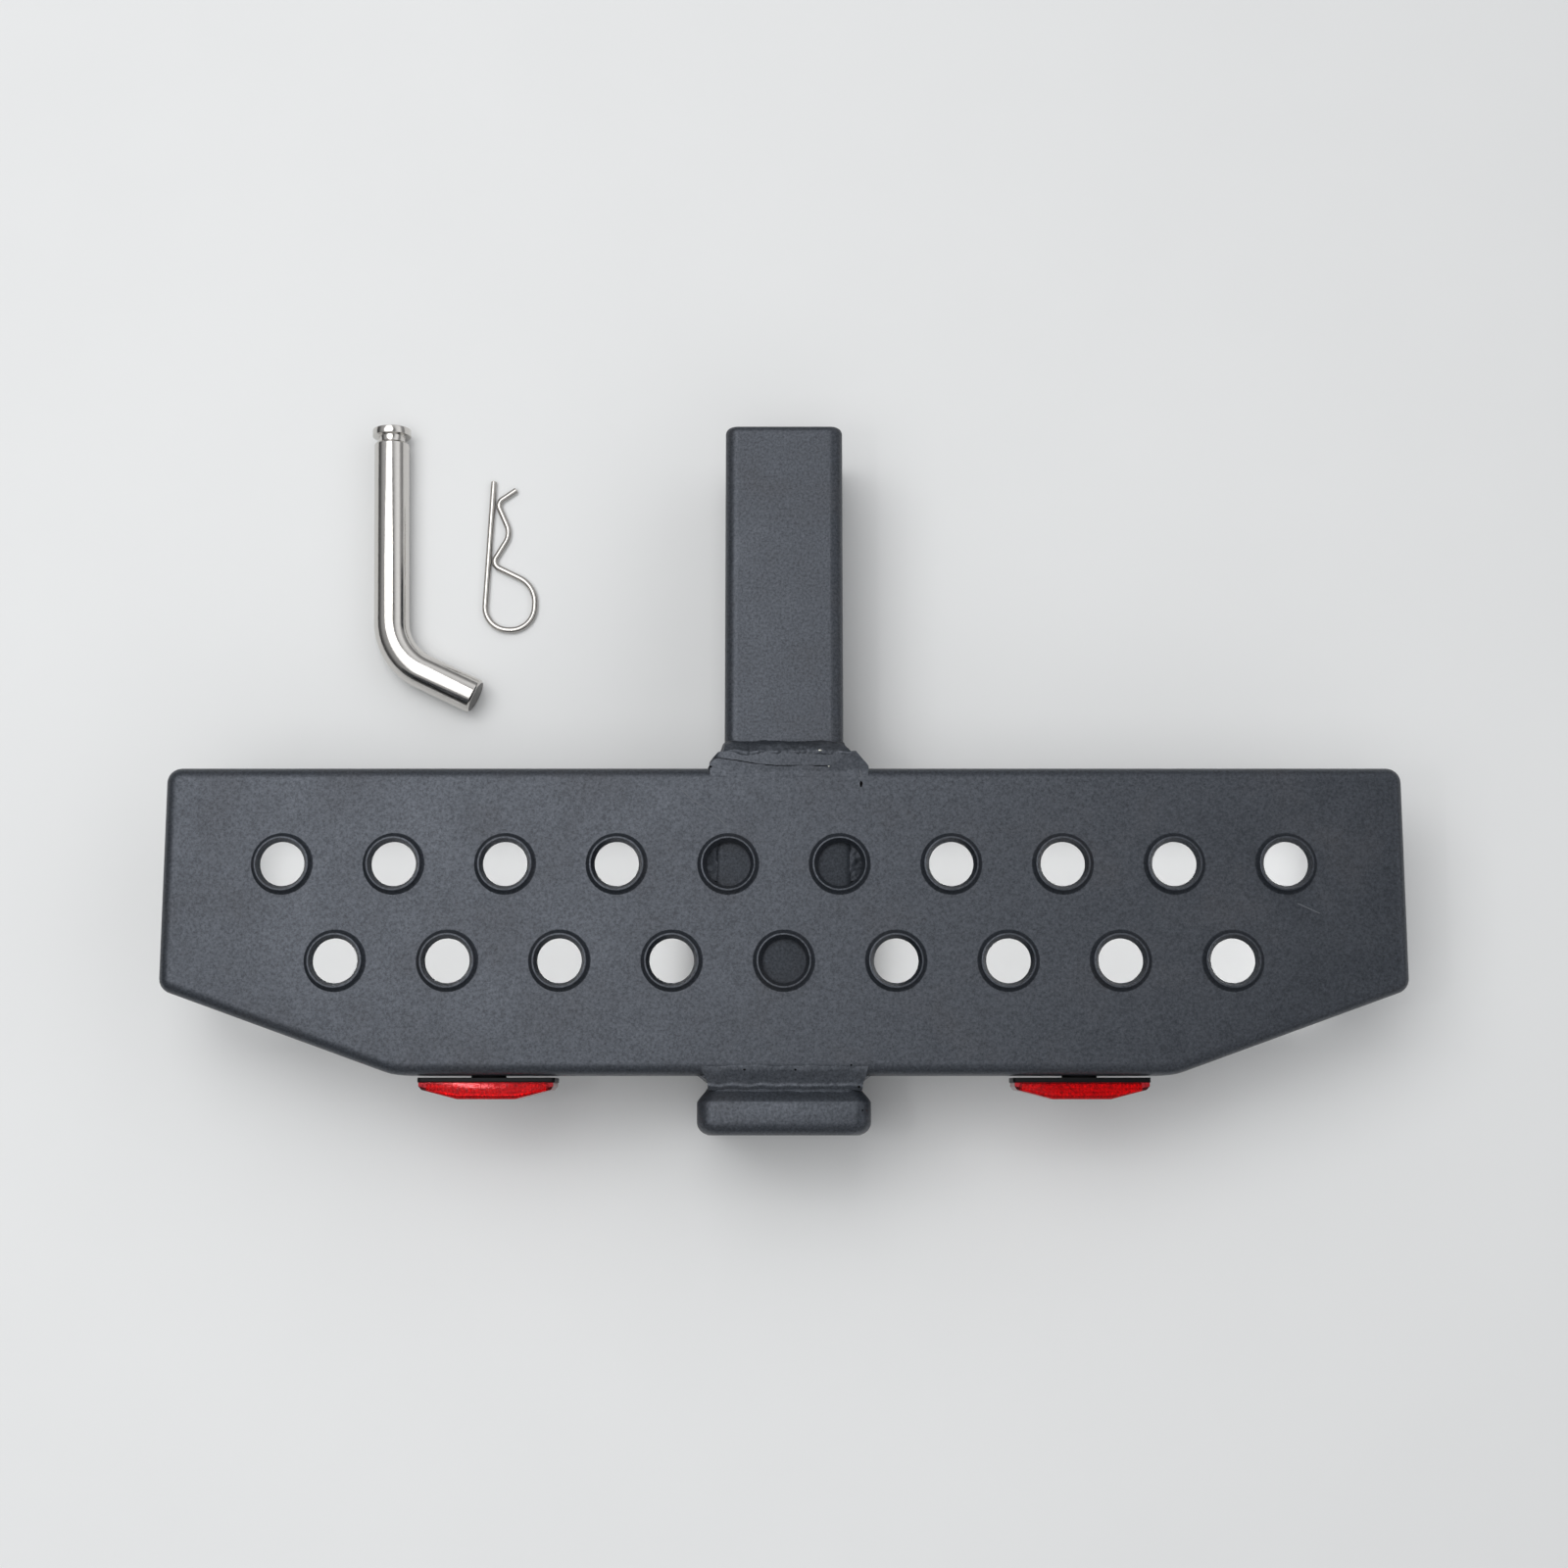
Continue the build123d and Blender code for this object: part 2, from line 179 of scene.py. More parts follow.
class PinSettings(PropertyGroup):
    """The bent hitch pin and its spring clip."""

    radius: mm("Pin radius", "Radius of the pin's shank", 7.9375)
    straight: mm("Straight", "From the top of the head to the corner of the bend", 108.0)
    leg: mm("Bent leg", "From the corner of the bend to the cut end", 42.7)
    bend_radius: mm("Bend radius", "Radius of the bend along the pin's middle", 26.0)
    turn: degrees("Turn", "How far the leg is bent", 63.0)
    lean: degrees("Lean", "How the pin is turned on the floor", 1.4)
    spot: plan_spot("Pin spot", "Where the corner of the pin's bend lies", -177.6, -21.9)
    clip_spot: plan_spot("Clip spot", "Where the corner under the clip's straight leg lies", -137.2, -7.4)
    head_radius: mm("Head radius", "Radius of the head", 8.7)
    head_rim: mm("Head rim", "Height of the head's straight rim", 3.2)
    head_dome: mm("Head dome", "Height of the head's dome", 1.9)
    groove_radius: mm("Groove radius", "Radius at the bottom of the clip's groove", 6.0)
    groove_length: mm("Groove length", "Length of the clip's groove", 3.2)
    end_chamfer: mm("End chamfer", "Chamfer at both ends of the shank", 0.8)
    wire: mm("Clip wire", "Diameter of the clip's wire", 2.8)
    clip_lean: degrees("Clip lean", "How the clip is turned on the floor", -2.8)
    segments: IntProperty(name="Segments", description="Facets round the pin", default=72, min=12, max=256)


class FinishSettings(PropertyGroup):
    """Colours and grain of the finishes."""

    coat_dark: colour("Coat", "The powder coat where its grain lies low", "#191c1f")
    coat_light: colour("Coat grain", "The powder coat where its grain stands up", "#262a30")
    rubbed: colour("Rubbed coat", "The powder coat where it was scratched", "#5e6166")
    coat_warm: colour("Coat bloom", "The brownish bloom on a few patches of the coat", "#2e2a28")
    coat_roughness: share("Coat roughness", "Roughness of the powder coat", 0.44)
    # The duller coat's shine is painted shade under the deck
    painted_shade_shine: number("Painted shade coat", "Shine of the coat under the deck", 0.4)
    lens_red: colour("Lens", "The dyed acrylic of the lens", "#ff4650")
    prism_red: colour("Prisms", "The mirrored prisms behind the lens", "#ff0a10")
    plastic: colour("Backing", "The moulded plastic behind the lens", "#0b0c0e")
    rubber: colour("Spacer", "The rubber spacer", "#1a1a1b")
    zinc: colour("Zinc", "Bright zinc plate", "#b9bbb8")
    plate: colour("Bright plate", "The pin's polished plate", "#d0cdc9")
    sawn: colour("Sawn end", "The pin's dull sawn end", "#5a5856")
    wire: colour("Wire", "The clip's drawn and plated wire", "#b2afab")
    floor: colour("Floor", "The seamless paper under the step", "#e4e5e5")


class StudioSettings(PropertyGroup):
    """Camera and lights."""

    lens: number("Lens", "Focal length", 50.0, "CAMERA")
    tilt: degrees("Tilt", "How far the camera leans forward from straight down", 8.427)
    behind: number("Behind", "Camera's place along Y", -0.2233, "LENGTH")
    height: number("Height", "Camera's height", 0.93935, "LENGTH")
    key_power: number("Key light", "Power of the soft box", 14.2, "POWER")
    panel_power: number("Panel", "Power of the panel overhead", 20.4, "POWER")
    bounce_power: number("Bounce", "Power of the light on the floor under the deck", 0.038, "POWER")
    lamp_power: number("Bare lamp", "Power of the bare lamp", 0.3, "POWER")
    ambient: number("Ambient", "Strength of the light from all round", 0.7)


def deselect():
    """Leaves edit mode and lets go of everything that is selected."""
    if bpy.context.object and bpy.context.object.mode != "OBJECT":
        bpy.ops.object.mode_set(mode="OBJECT")
    bpy.ops.object.select_all(action="DESELECT")


def take(piece):
    """Makes a piece the only selected one and the active one."""
    deselect()
    piece.select_set(True)
    bpy.context.view_layer.objects.active = piece


def edit(piece):
    """Opens a piece in edit mode with all of it selected."""
    take(piece)
    bpy.ops.object.mode_set(mode="EDIT")
    bpy.ops.mesh.select_all(action="SELECT")


def leave():
    """Goes back to object mode."""
    bpy.ops.object.mode_set(mode="OBJECT")


def cut(spot, normal, **ends):
    """In edit mode, cuts the whole mesh across at a spot."""
    bpy.ops.mesh.select_all(action="SELECT")
    bpy.ops.mesh.bisect(plane_co=spot, plane_no=normal, **ends)


def started(name):
    """Names the primitive that was just added and makes its place part of its mesh."""
    piece = bpy.context.object
    piece.name = name
    piece.data.name = name
    bpy.ops.object.transform_apply(location=True, rotation=True, scale=True)
    return piece


def pick(piece, test):
    """In edit mode, selects only the vertices that pass the test."""
    edit(piece)
    bpy.ops.mesh.select_mode(type="VERT")
    bpy.ops.mesh.select_all(action="DESELECT")
    leave()
    for vertex in piece.data.vertices:
        vertex.select = test(vertex.co)
    bpy.ops.object.mode_set(mode="EDIT")


def modify(piece, kind, **settings):
    """Adds a modifier with these settings and applies it."""
    take(piece)
    modifier = piece.modifiers.new(kind.lower(), kind)
    for name, value in settings.items():
        setattr(modifier, name, value)
    bpy.ops.object.modifier_apply(modifier=modifier.name)


def round_edges(piece, width, angle):
    """Rounds the edges that are sharper than this angle in degrees."""
    modify(piece, "BEVEL", width=width, segments=3, limit_method="ANGLE", angle_limit=math.radians(angle))


def join(piece, others):
    """Joins other objects into a piece."""
    take(piece)
    for other in others:
        other.select_set(True)
    bpy.ops.object.join()
    return piece


def lay_along_y(piece, spot):
    """Lays a piece that was made upright at the origin along +Y from a spot on, as part of its mesh."""
    take(piece)
    piece.rotation_euler = (math.radians(-90.0), 0.0, 0.0)
    piece.location = spot
    bpy.ops.object.transform_apply(location=True, rotation=True, scale=True)


def close_skin(piece):
    """Merges doubles and turns every face outwards."""
    edit(piece)
    bpy.ops.mesh.remove_doubles(threshold=MERGED)
    bpy.ops.mesh.normals_make_consistent(inside=False)
    leave()


def copy_of(node, name):
    """A merged copy of a CAD node's mesh, as an object of its own."""
    piece = bpy.data.objects.new(name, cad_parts[node].data.copy())
    bpy.context.scene.collection.objects.link(piece)
    take(piece)
    bpy.ops.mesh.customdata_custom_splitnormals_clear()
    close_skin(piece)
    return piece


def dress(piece, finish, slot, *nodes, smooth=35.0):
    """Gives a finished piece its material, its smooth shading and its place in the frame."""
    take(piece)
    piece.data.materials.clear()
    piece.data.materials.append(finish)
    bpy.ops.object.shade_smooth_by_angle(angle=math.radians(smooth))
    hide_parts(*nodes)
    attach(piece, BODY)
    deselect()


def ring_on(move, scale, centre):
    """Extrudes the selected ring by a move, then scales the new ring about its centre."""
    bpy.ops.mesh.extrude_edges_move(TRANSFORM_OT_translate={"value": move})
    bpy.ops.transform.resize(value=(scale, scale, scale), center_override=centre)


def turned(name, profile, segments, corner=0.0):
    """A turned piece, upright at the origin: rings of a (height, radius) profile, extruded one from the
    other. A profile that comes back to its start is a ring, and any other is closed by end faces. With a
    corner radius the rings are squares with rounded corners."""
    height, radius = profile[0]
    deselect()
    if corner:
        bpy.ops.mesh.primitive_plane_add(size=2 * radius, location=(0, 0, height))
    else:
        bpy.ops.mesh.primitive_circle_add(vertices=segments, radius=radius, location=(0, 0, height))
    piece = started(name)
    closed = profile[0] == profile[-1]
    edit(piece)
    if corner:
        bpy.ops.mesh.bevel(offset=corner, segments=segments // 4, affect="VERTICES")
        bpy.ops.mesh.delete(type="ONLY_FACE")
    bpy.ops.mesh.select_mode(type="EDGE")
    bpy.ops.mesh.select_all(action="SELECT")
    if not closed:
        bpy.ops.mesh.edge_face_add()
    for next_height, next_radius in profile[1:]:
        ring_on((0, 0, next_height - height), next_radius / radius, (0, 0, next_height))
        height, radius = next_height, next_radius
    if not closed:
        bpy.ops.mesh.edge_face_add()
    leave()
    close_skin(piece)
    return piece


def add_node(tree, kind, values=None, links=None, output=None):
    """Adds a node with its settings and input values, and links other nodes' outputs into it. Gives back
    the output of that name, or else the first that the settings leave in use."""
    node = tree.nodes.new("ShaderNode" + kind)
    for name, value in (values or {}).items():
        if isinstance(name, str) and hasattr(node, name):
            setattr(node, name, value)
        else:
            node.inputs[name].default_value = value
    for name, source in (links or {}).items():
        tree.links.new(source, node.inputs[name])
    return node.outputs[output] if output else next(o for o in node.outputs if o.enabled)


def new_material(name, **values):
    """A material with its shader's plain values set on the shader's own sockets."""
    material = bpy.data.materials.new(name)
    material.use_nodes = True
    shader = material.node_tree.nodes["Principled BSDF"]
    for socket, value in values.items():
        shader.inputs[socket.replace("_", " ")].default_value = value
    return material, material.node_tree, shader


def feed(shader, **sources):
    """Links other nodes' outputs into a shader's sockets."""
    for socket, source in sources.items():
        shader.id_data.links.new(source, shader.inputs[socket.replace("_", " ")])


def per_mm(size):
    """The noise scale whose grains are this many millimetres across."""
    return 1.0 / (size * MM)


NOISE_SPAN = {"From Min": 0.3, "From Max": 0.7}  # Noise mostly keeps between these


def toned(paint, red, green, blue):
    """A colour with its red, green and blue taken down to these parts."""
    return tuple(c * part for c, part in zip(paint, (red, green, blue, 1.0)))


def powder_coat(name, finish, shine):
    """Polyester powder, sprayed on and baked: satin black, finely pebbled, so that it glows softly under
    the lamp. The pebbles are drawn a little coarser than the real 0.3 mm, so that they show. A copy with
    less shine is duller and darker: painted shade under the deck."""
    material, tree, shader = new_material(name, Specular_Tint=linear("#eaf1ff"))
    place = {"Vector": add_node(tree, "TexCoord", output="Object")}
    grain = add_node(tree, "TexNoise", {"Scale": per_mm(1.1), "Detail": 6.0, "Roughness": 0.72}, place)
    patches = add_node(tree, "TexNoise", {"Scale": per_mm(26.0), "Detail": 4.0, "Roughness": 0.6}, place)
    pebbles = add_node(tree, "TexNoise", {"Scale": per_mm(0.8), "Detail": 2.0, "Roughness": 0.5}, place)
    contrast = add_node(tree, "MapRange", {**NOISE_SPAN, "To Min": 0.0, "To Max": 1.0}, {"Value": grain})
    coats = {"data_type": "RGBA", 6: finish.coat_dark, 7: finish.coat_light}
    base = add_node(tree, "Mix", coats, {"Factor": contrast})
    browned = {"From Min": 0.5, "From Max": 0.78, "To Min": 0.0, "To Max": 0.35}
    bloom = add_node(tree, "MapRange", browned, {"Value": patches})
    tone = add_node(tree, "Mix", {"data_type": "RGBA", 7: finish.coat_warm}, {"Factor": bloom, 6: base})
    rough = finish.coat_roughness
    dulled = {**NOISE_SPAN, "To Min": rough - 0.05, "To Max": rough + 0.07}
    sheen = add_node(tree, "MapRange", dulled, {"Value": patches})
    shining = {"From Min": 0.33, "From Max": 0.67, "To Min": 0.44 * shine, "To Max": 1.04 * shine}
    glints = add_node(tree, "MapRange", shining, {"Value": grain})
    clouds = add_node(tree, "MapRange", {**NOISE_SPAN, "To Min": 0.95, "To Max": 1.05}, {"Value": patches})
    gloss = add_node(tree, "Math", {"operation": "MULTIPLY"}, {0: glints, 1: clouds})
    bump = add_node(tree, "Bump", {"Strength": 0.5, "Distance": 0.05 * MM}, {"Height": pebbles})
    feed(shader, Base_Color=tone, Roughness=sheen, Specular_IOR_Level=gloss, Normal=bump)
    return material


def bright_plate(name, base, smooth, scuffed):
    """Steel, polished and plated bright: a mirror that shows the lamps as long bands, faintly wavy from the
    polishing wheel. Its roughness runs from smooth to scuffed."""
    material, tree, shader = new_material(name, Base_Color=base, Metallic=1.0)
    place = {"Vector": add_node(tree, "TexCoord", output="Object")}
    wheel = add_node(tree, "TexNoise", {"Scale": per_mm(9.0), "Detail": 3.0, "Roughness": 0.5}, place)
    scuffs = add_node(tree, "TexNoise", {"Scale": per_mm(1.6), "Detail": 5.0, "Roughness": 0.7}, place)
    worn = {"From Min": 0.35, "From Max": 0.75, "To Min": smooth, "To Max": scuffed}
    rough = add_node(tree, "MapRange", worn, {"Value": scuffs})
    bump = add_node(tree, "Bump", {"Strength": 0.35, "Distance": 0.12 * MM}, {"Height": wheel})
    feed(shader, Roughness=rough, Normal=bump)
    return material


def zinc_plate(name, finish):
    """Pressed steel, barrel-plated with bright zinc: a dull silver metal, cloudy and softly scratched."""
    material, tree, shader = new_material(name, Metallic=1.0)
    place = {"Vector": add_node(tree, "TexCoord", output="Object")}
    clouds = add_node(tree, "TexNoise", {"Scale": per_mm(3.0), "Detail": 4.0, "Roughness": 0.6}, place)
    rough = add_node(tree, "MapRange", {**NOISE_SPAN, "To Min": 0.22, "To Max": 0.45}, {"Value": clouds})
    yellowed = toned(finish.zinc, 0.92, 0.88, 0.74)
    tint = add_node(tree, "Mix", {"data_type": "RGBA", 6: finish.zinc, 7: yellowed}, {"Factor": clouds})
    feed(shader, Base_Color=tint, Roughness=rough)
    return material


def red_acrylic(name, finish):
    """Acrylic dyed red and injection moulded: clear and deep, so that its thin edges go pink, and so red
    that even the lamps' shine on it is tinted."""
    shine = linear("#d06a6e")
    material, tree, shader = new_material(
        name, Base_Color=finish.lens_red, Transmission_Weight=0.94, IOR=1.49, Specular_Tint=shine
    )
    place = {"Vector": add_node(tree, "TexCoord", output="Object")}
    haze = add_node(tree, "TexNoise", {"Scale": per_mm(2.5), "Detail": 3.0, "Roughness": 0.6}, place)
    rough = add_node(tree, "MapRange", {**NOISE_SPAN, "To Min": 0.05, "To Max": 0.12}, {"Value": haze})
    feed(shader, Roughness=rough)
    return material


def mirrored_prisms(name, finish):
    """The back of the lens, moulded into rows of small prisms. Its red runs from bright to nearly black in a
    fine cloudy pattern: painted glints and painted shade for facets that catch the lamp or not."""
    material, tree, shader = new_material(name, Metallic=0.55, Specular_IOR_Level=0.08)
    place = {"Vector": add_node(tree, "TexCoord", output="Object")}
    cells = add_node(tree, "TexNoise", {"Scale": per_mm(1.3), "Detail": 4.0, "Roughness": 0.62}, place)
    # Bright and dark red set by noise, not by the lamp: painted glints and painted shade
    glint_span = {"From Min": 0.35, "From Max": 0.6, "To Min": 0.1, "To Max": 1.0}
    painted_glint = add_node(tree, "MapRange", glint_span, {"Value": cells})
    reds = {"data_type": "RGBA", 6: toned(finish.prism_red, 0.4, 0.3, 0.3), 7: finish.prism_red}
    tint = add_node(tree, "Mix", reds, {"Factor": painted_glint})
    rough = add_node(tree, "MapRange", {**NOISE_SPAN, "To Min": 0.12, "To Max": 0.3}, {"Value": cells})
    feed(shader, Base_Color=tint, Roughness=rough)
    return material


def moulded(name, base, roughness, grain_mm, depth_mm):
    """A moulded plastic or rubber whose tool left an even, fine grain: it dulls the gloss, so that the
    black stays deep under the lamps."""
    material, tree, shader = new_material(name, Base_Color=base, Specular_IOR_Level=0.1)
    place = {"Vector": add_node(tree, "TexCoord", output="Object")}
    grain = add_node(tree, "TexNoise", {"Scale": per_mm(grain_mm), "Detail": 2.0, "Roughness": 0.6}, place)
    dulled = {**NOISE_SPAN, "To Min": roughness - 0.06, "To Max": roughness + 0.06}
    rough = add_node(tree, "MapRange", dulled, {"Value": grain})
    bump = add_node(tree, "Bump", {"Strength": 0.5, "Distance": depth_mm * MM}, {"Height": grain})
    feed(shader, Roughness=rough, Normal=bump)
    return material


def seamless_paper(name, finish):
    """Matt studio paper: pale, with a hardly visible cloudiness."""
    material, tree, shader = new_material(name, Roughness=0.9)
    place = {"Vector": add_node(tree, "TexCoord", output="Object")}
    clouds = add_node(tree, "TexNoise", {"Scale": per_mm(90.0), "Detail": 4.0, "Roughness": 0.6}, place)
    shade = toned(finish.floor, 0.965, 0.965, 0.965)
    tint = add_node(tree, "Mix", {"data_type": "RGBA", 6: shade, 7: finish.floor}, {"Factor": clouds})
    feed(shader, Base_Color=tint)
    return material


def material_for(name, make, *values):
    """The material of that name, made the first time that it is asked for."""
    return bpy.data.materials.get(name) or make(name, *values)


def coat(context, thin=False):
    """The step's powder coat, and a duller copy with less shine that is painted shade under the deck."""
    finish = context.scene.step_finish
    if thin:
        return material_for("painted_shade_dull_powder_coat", powder_coat, finish, finish.painted_shade_shine)
    return material_for("satin_black_powder_coat", powder_coat, finish, 1.0)


def dress_steel(context, piece, node, thin=False):
    """Gives a finished steel piece its powder coat in place of a CAD node, or with thin the duller copy that
    is painted shade under the deck.
    """
    dress(piece, coat(context, thin), "black_powder_coat", node)


class STEP_OT_coat_steel(Operator):
    """Coats the shank, and the tube with its nose ground slanting on the left"""

    bl_idname = "hitch_step.coat_steel"
    bl_label = "Coat the steel"

    def execute(self, context):
        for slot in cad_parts["shank_tube"].material_slots:
            slot.material = coat(context)
        tube = copy_of("receiver_tube", "socket_tube")
        weld = context.scene.step_welds
        edit(tube)
        corner = (tube_low.x, tube_high.y - weld.slant_run, 0)
        cut(corner, (-weld.slant_run, weld.slant, 0), use_fill=True, clear_outer=True)
        # Between these two cuts the tube takes the duller coat: painted shade where the deck shades it
        reach = 12 * MM
        shaded_span = (deck_low.y + reach, deck_high.y - reach)
        for y in shaded_span:
            cut((0, y, 0), (0, 1, 0))
        leave()
        dress_steel(context, tube, "receiver_tube")
        # Faces between the cuts take the duller coat, painted shade under the deck
        tube.data.materials.append(coat(context, thin=True))
        for face in tube.data.polygons:
            face.material_index = int(shaded_span[0] < face.center.y < shaded_span[1])
        return {"FINISHED"}


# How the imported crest's arc, in degrees from the flank to the throat, is drawn out: a radius from the hole's
# middle and a height over the sheet, in millimetres
RIM_LINE = (
    (29.0, 12.75, 0.2), (47.0, 12.4, 0.6), (63.0, 12.0, 1.2), (80.0, 11.55, 1.95), (88.0, 11.36, 2.32),
    (97.0, 11.05, 2.4), (105.0, 10.7, 2.37), (122.0, 10.5, 1.95), (147.0, 10.1, 1.1), (180.0, 9.28, -0.5),
)


class STEP_OT_deck_pan(Operator):
    """Draws the rims of the deck's flared holes: a hollow flank, a thin rolled crest and a steep throat"""

    bl_idname = "hitch_step.deck_pan"
    bl_label = "Flare the deck's holes"

    def execute(self, context):
        settings = context.scene.step_deck
        top = deck_high.z - settings.rim_height
        crest_height = settings.rim_height - settings.packed_crest
        radii = [(angle, radius) for angle, radius, height in RIM_LINE]
        heights = [(angle, height) for angle, radius, height in RIM_LINE]
        front_holes, rear_holes = 10, 9
        rows = (
            (front_holes, deck_high.y - settings.front_row),
            (rear_holes, deck_high.y - settings.rear_row),
        )
        deck = copy_of("step_deck", "deck_pan")
        for vertex in deck.data.vertices:
            if vertex.co.z < top + 5 * NEAR:
                continue
            count, row = min(rows, key=lambda r: abs(r[1] - vertex.co.y))
            step = round(vertex.co.x / settings.pitch + (count - 1) / 2) - (count - 1) / 2
            middle = Vector((step * settings.pitch, row, 0))
            out = Vector((vertex.co.x, vertex.co.y, 0)) - middle
            rise = vertex.co.z - top - crest_height
            angle = math.degrees(math.atan2(rise, out.length - settings.crest_middle))
            spot = middle + out.normalized() * on_line(radii, angle) * MM
            vertex.co = Vector((spot.x, spot.y, top + on_line(heights, angle) * MM))
        deck.data.update()
        dress_steel(context, deck, "step_deck")
        return {"FINISHED"}


class STEP_OT_collar_band(Operator):
    """Rolls the band round the tube's mouth, with its rounded rear edge and its sloped shoulder"""

    bl_idname = "hitch_step.collar_band"
    bl_label = "Roll the collar band"

    def execute(self, context):
        band = context.scene.step_collar
        outer, inner, length = collar_high.x, tube_high.x, collar_high.y - collar_low.y
        # The rear edge is rounded from its flat end on, and the shoulder falls ever more steeply
        first, last, steps = 14.0, 90.0, 10
        arc = [math.radians(first + (last - first) * i / steps) for i in range(steps + 1)]
        rounding, slope = band.rounding, [i / 8 for i in range(9)]
        rounded = [(rounding * (1 - math.cos(a)), outer - rounding * (1 - math.sin(a))) for a in arc]
        shoulder = [(length - band.shoulder * (1 - t), outer - band.shoulder_drop * t**1.2) for t in slope]
        start = (rounded[0][0], inner)
        profile = [start, *rounded, *shoulder, (length, inner), start]
        piece = turned("band_round_mouth", profile, 48, corner=band.corner * inner / outer)
        lay_along_y(piece, (0, collar_low.y, 0))
        dress_steel(context, piece, "mouth_collar")
        return {"FINISHED"}


def swell(piece, weld, along, seed, calm):
    """Makes a bead swell and thin along its way and show the ripples of its puddle. A calm of less than 1
    makes all of that shallower."""
    shift = Vector((seed * 0.37, seed * 0.11, seed * 0.23))
    fine_size, fine_part, wander_size = weld.lump_size * 0.3, 0.35, weld.lump_size * 1.7
    mean_ripple = 0.64  # Taken off, so that the ripples make no bead thicker
    moved = []
    for vertex in piece.data.vertices:
        lump = noise.noise(vertex.co / weld.lump_size + shift)
        fine = noise.noise(vertex.co / fine_size + shift)
        wander = noise.noise(vertex.co / wander_size - shift)
        ripple = abs(math.sin(math.pi * (along(vertex.co) / weld.ripple_pitch + wander)))
        rise = (lump + fine * fine_part) * weld.lump_depth + (ripple - mean_ripple) * weld.ripple_depth
        moved.append(vertex.co + vertex.normal * rise * calm)
    for vertex, target in zip(piece.data.vertices, moved):
        vertex.co = target
    piece.data.update()


def lay_bead(piece, weld, along, seed, calm=1.0):
    """Gives a bead an even skin of small cells and lets it swell."""
    modify(piece, "REMESH", mode="VOXEL", voxel_size=weld.skin)
    modify(piece, "SMOOTH", factor=0.5, iterations=5)
    swell(piece, weld, along, seed, calm)


def round_the_tube(spot):
    """How far round the tube a place lies. Its corners make the way longer than round a bar."""
    longer = 1.2
    return math.atan2(spot.z, spot.x) * tube_high.x * longer


def along_the_tube(spot):
    """How far along the tube a place lies, with the ripples curved across the bead."""
    curve = 0.4
    return spot.y + abs(abs(spot.x) - tube_high.x) * curve


def on_line(points, x):
    """The second number of a line of points where its first is x."""
    for (start, low), (end, high) in zip(points, points[1:]):
        if x <= end:
            return low + (high - low) * max(0.0, x - start) / (end - start)
    return points[-1][1]


LEVEL = ((0.0, 0.0), (1.0, 0.0))  # The line of an edge that neither swings out nor dips


def weld_cap(name, base, rows, weld, seed, calm, edge=LEVEL, dip=LEVEL):
    """A sheet of weld metal over the tube's top, in millimetres. Each row, from the rear to the front, is
    its y from the base on, its left and right x and its height over the tube. The last row runs forward
    along an edge of (x, y) and dips along (x, height)."""
    rows = [(base + y, *rest) for y, *rest in rows]
    waver, waver_length, thickness = 0.7, 6.0, 3.4
    deselect()
    bpy.ops.mesh.primitive_grid_add(x_subdivisions=110, y_subdivisions=36, size=1.0)
    piece = started(name)
    last = len(rows) - 1
    for vertex in piece.data.vertices:
        way = min(max((vertex.co.y + 0.5) * last, 0.0), last - 0.0001)
        row = int(way)
        part = way - row
        y, left, right, height = [a + (b - a) * part for a, b in zip(rows[row], rows[row + 1])]
        x = left + (vertex.co.x + 0.5) * (right - left)
        if row == last - 1:
            y += on_line(edge, x) * part
            height -= on_line(dip, x) * part
        y += noise.noise(Vector((x / waver_length, seed, 0.0))) * waver
        vertex.co = Vector((x * MM, y * MM, tube_high.z + height * MM))
    piece.data.update()
    modify(piece, "SMOOTH", factor=0.5, iterations=4)
    swell(piece, weld, round_the_tube, seed, calm)
    modify(piece, "SOLIDIFY", thickness=thickness * MM, offset=-1.0)
    close_skin(piece)
    return piece


def bead_legs(node, name, weld, seed):
    """The parts of a packed bead that run down the tube's sides below its top, laid anew."""
    legs, below = copy_of(node, name), 0.4 * MM
    edit(legs)
    cut((0, 0, tube_high.z - below), (0, 0, 1), use_fill=True, clear_outer=True)
    leave()
    lay_bead(legs, weld, round_the_tube, seed, calm=0.3)
    return legs


def dice(piece, pitch, axes=(0, 1, 2)):
    """Cuts a piece across these axes into cells of this pitch."""
    corners = [vertex.co.copy() for vertex in piece.data.vertices]
    edit(piece)
    for axis in axes:
        low, high = min(c[axis] for c in corners), max(c[axis] for c in corners)
        normal = Vector([float(axis == i) for i in range(3)])
        for i in range(1, int((high - low) / pitch)):
            cut(normal * (low + i * pitch), normal)
    leave()


# The sheets of weld metal over the tube's top, in the form that weld_cap asks for. Over the shank the bead is
# laid on twice, in a wavy line.
SHANK_CAP = (
    (-2.2, -25.0, 27.4, -1.0), (-0.9, -25.6, 28.6, 0.1), (0.3, -25.8, 28.8, 0.3),
    (1.2, -25.6, 28.0, -0.15), (2.4, -25.3, 27.0, -0.8), (3.6, -25.1, 26.1, -1.6),
    (4.6, -24.9, 25.6, -2.7), (5.1, -24.7, 25.4, -4.5), (5.3, -24.6, 25.3, -6.6),
)
SHANK_EDGE = (
    (-26.0, 0.0), (-19.0, -0.5), (-9.0, 0.4), (0.0, 0.5), (7.0, -0.1), (15.0, 0.6), (22.0, -0.4), (26.0, 0.0)
)
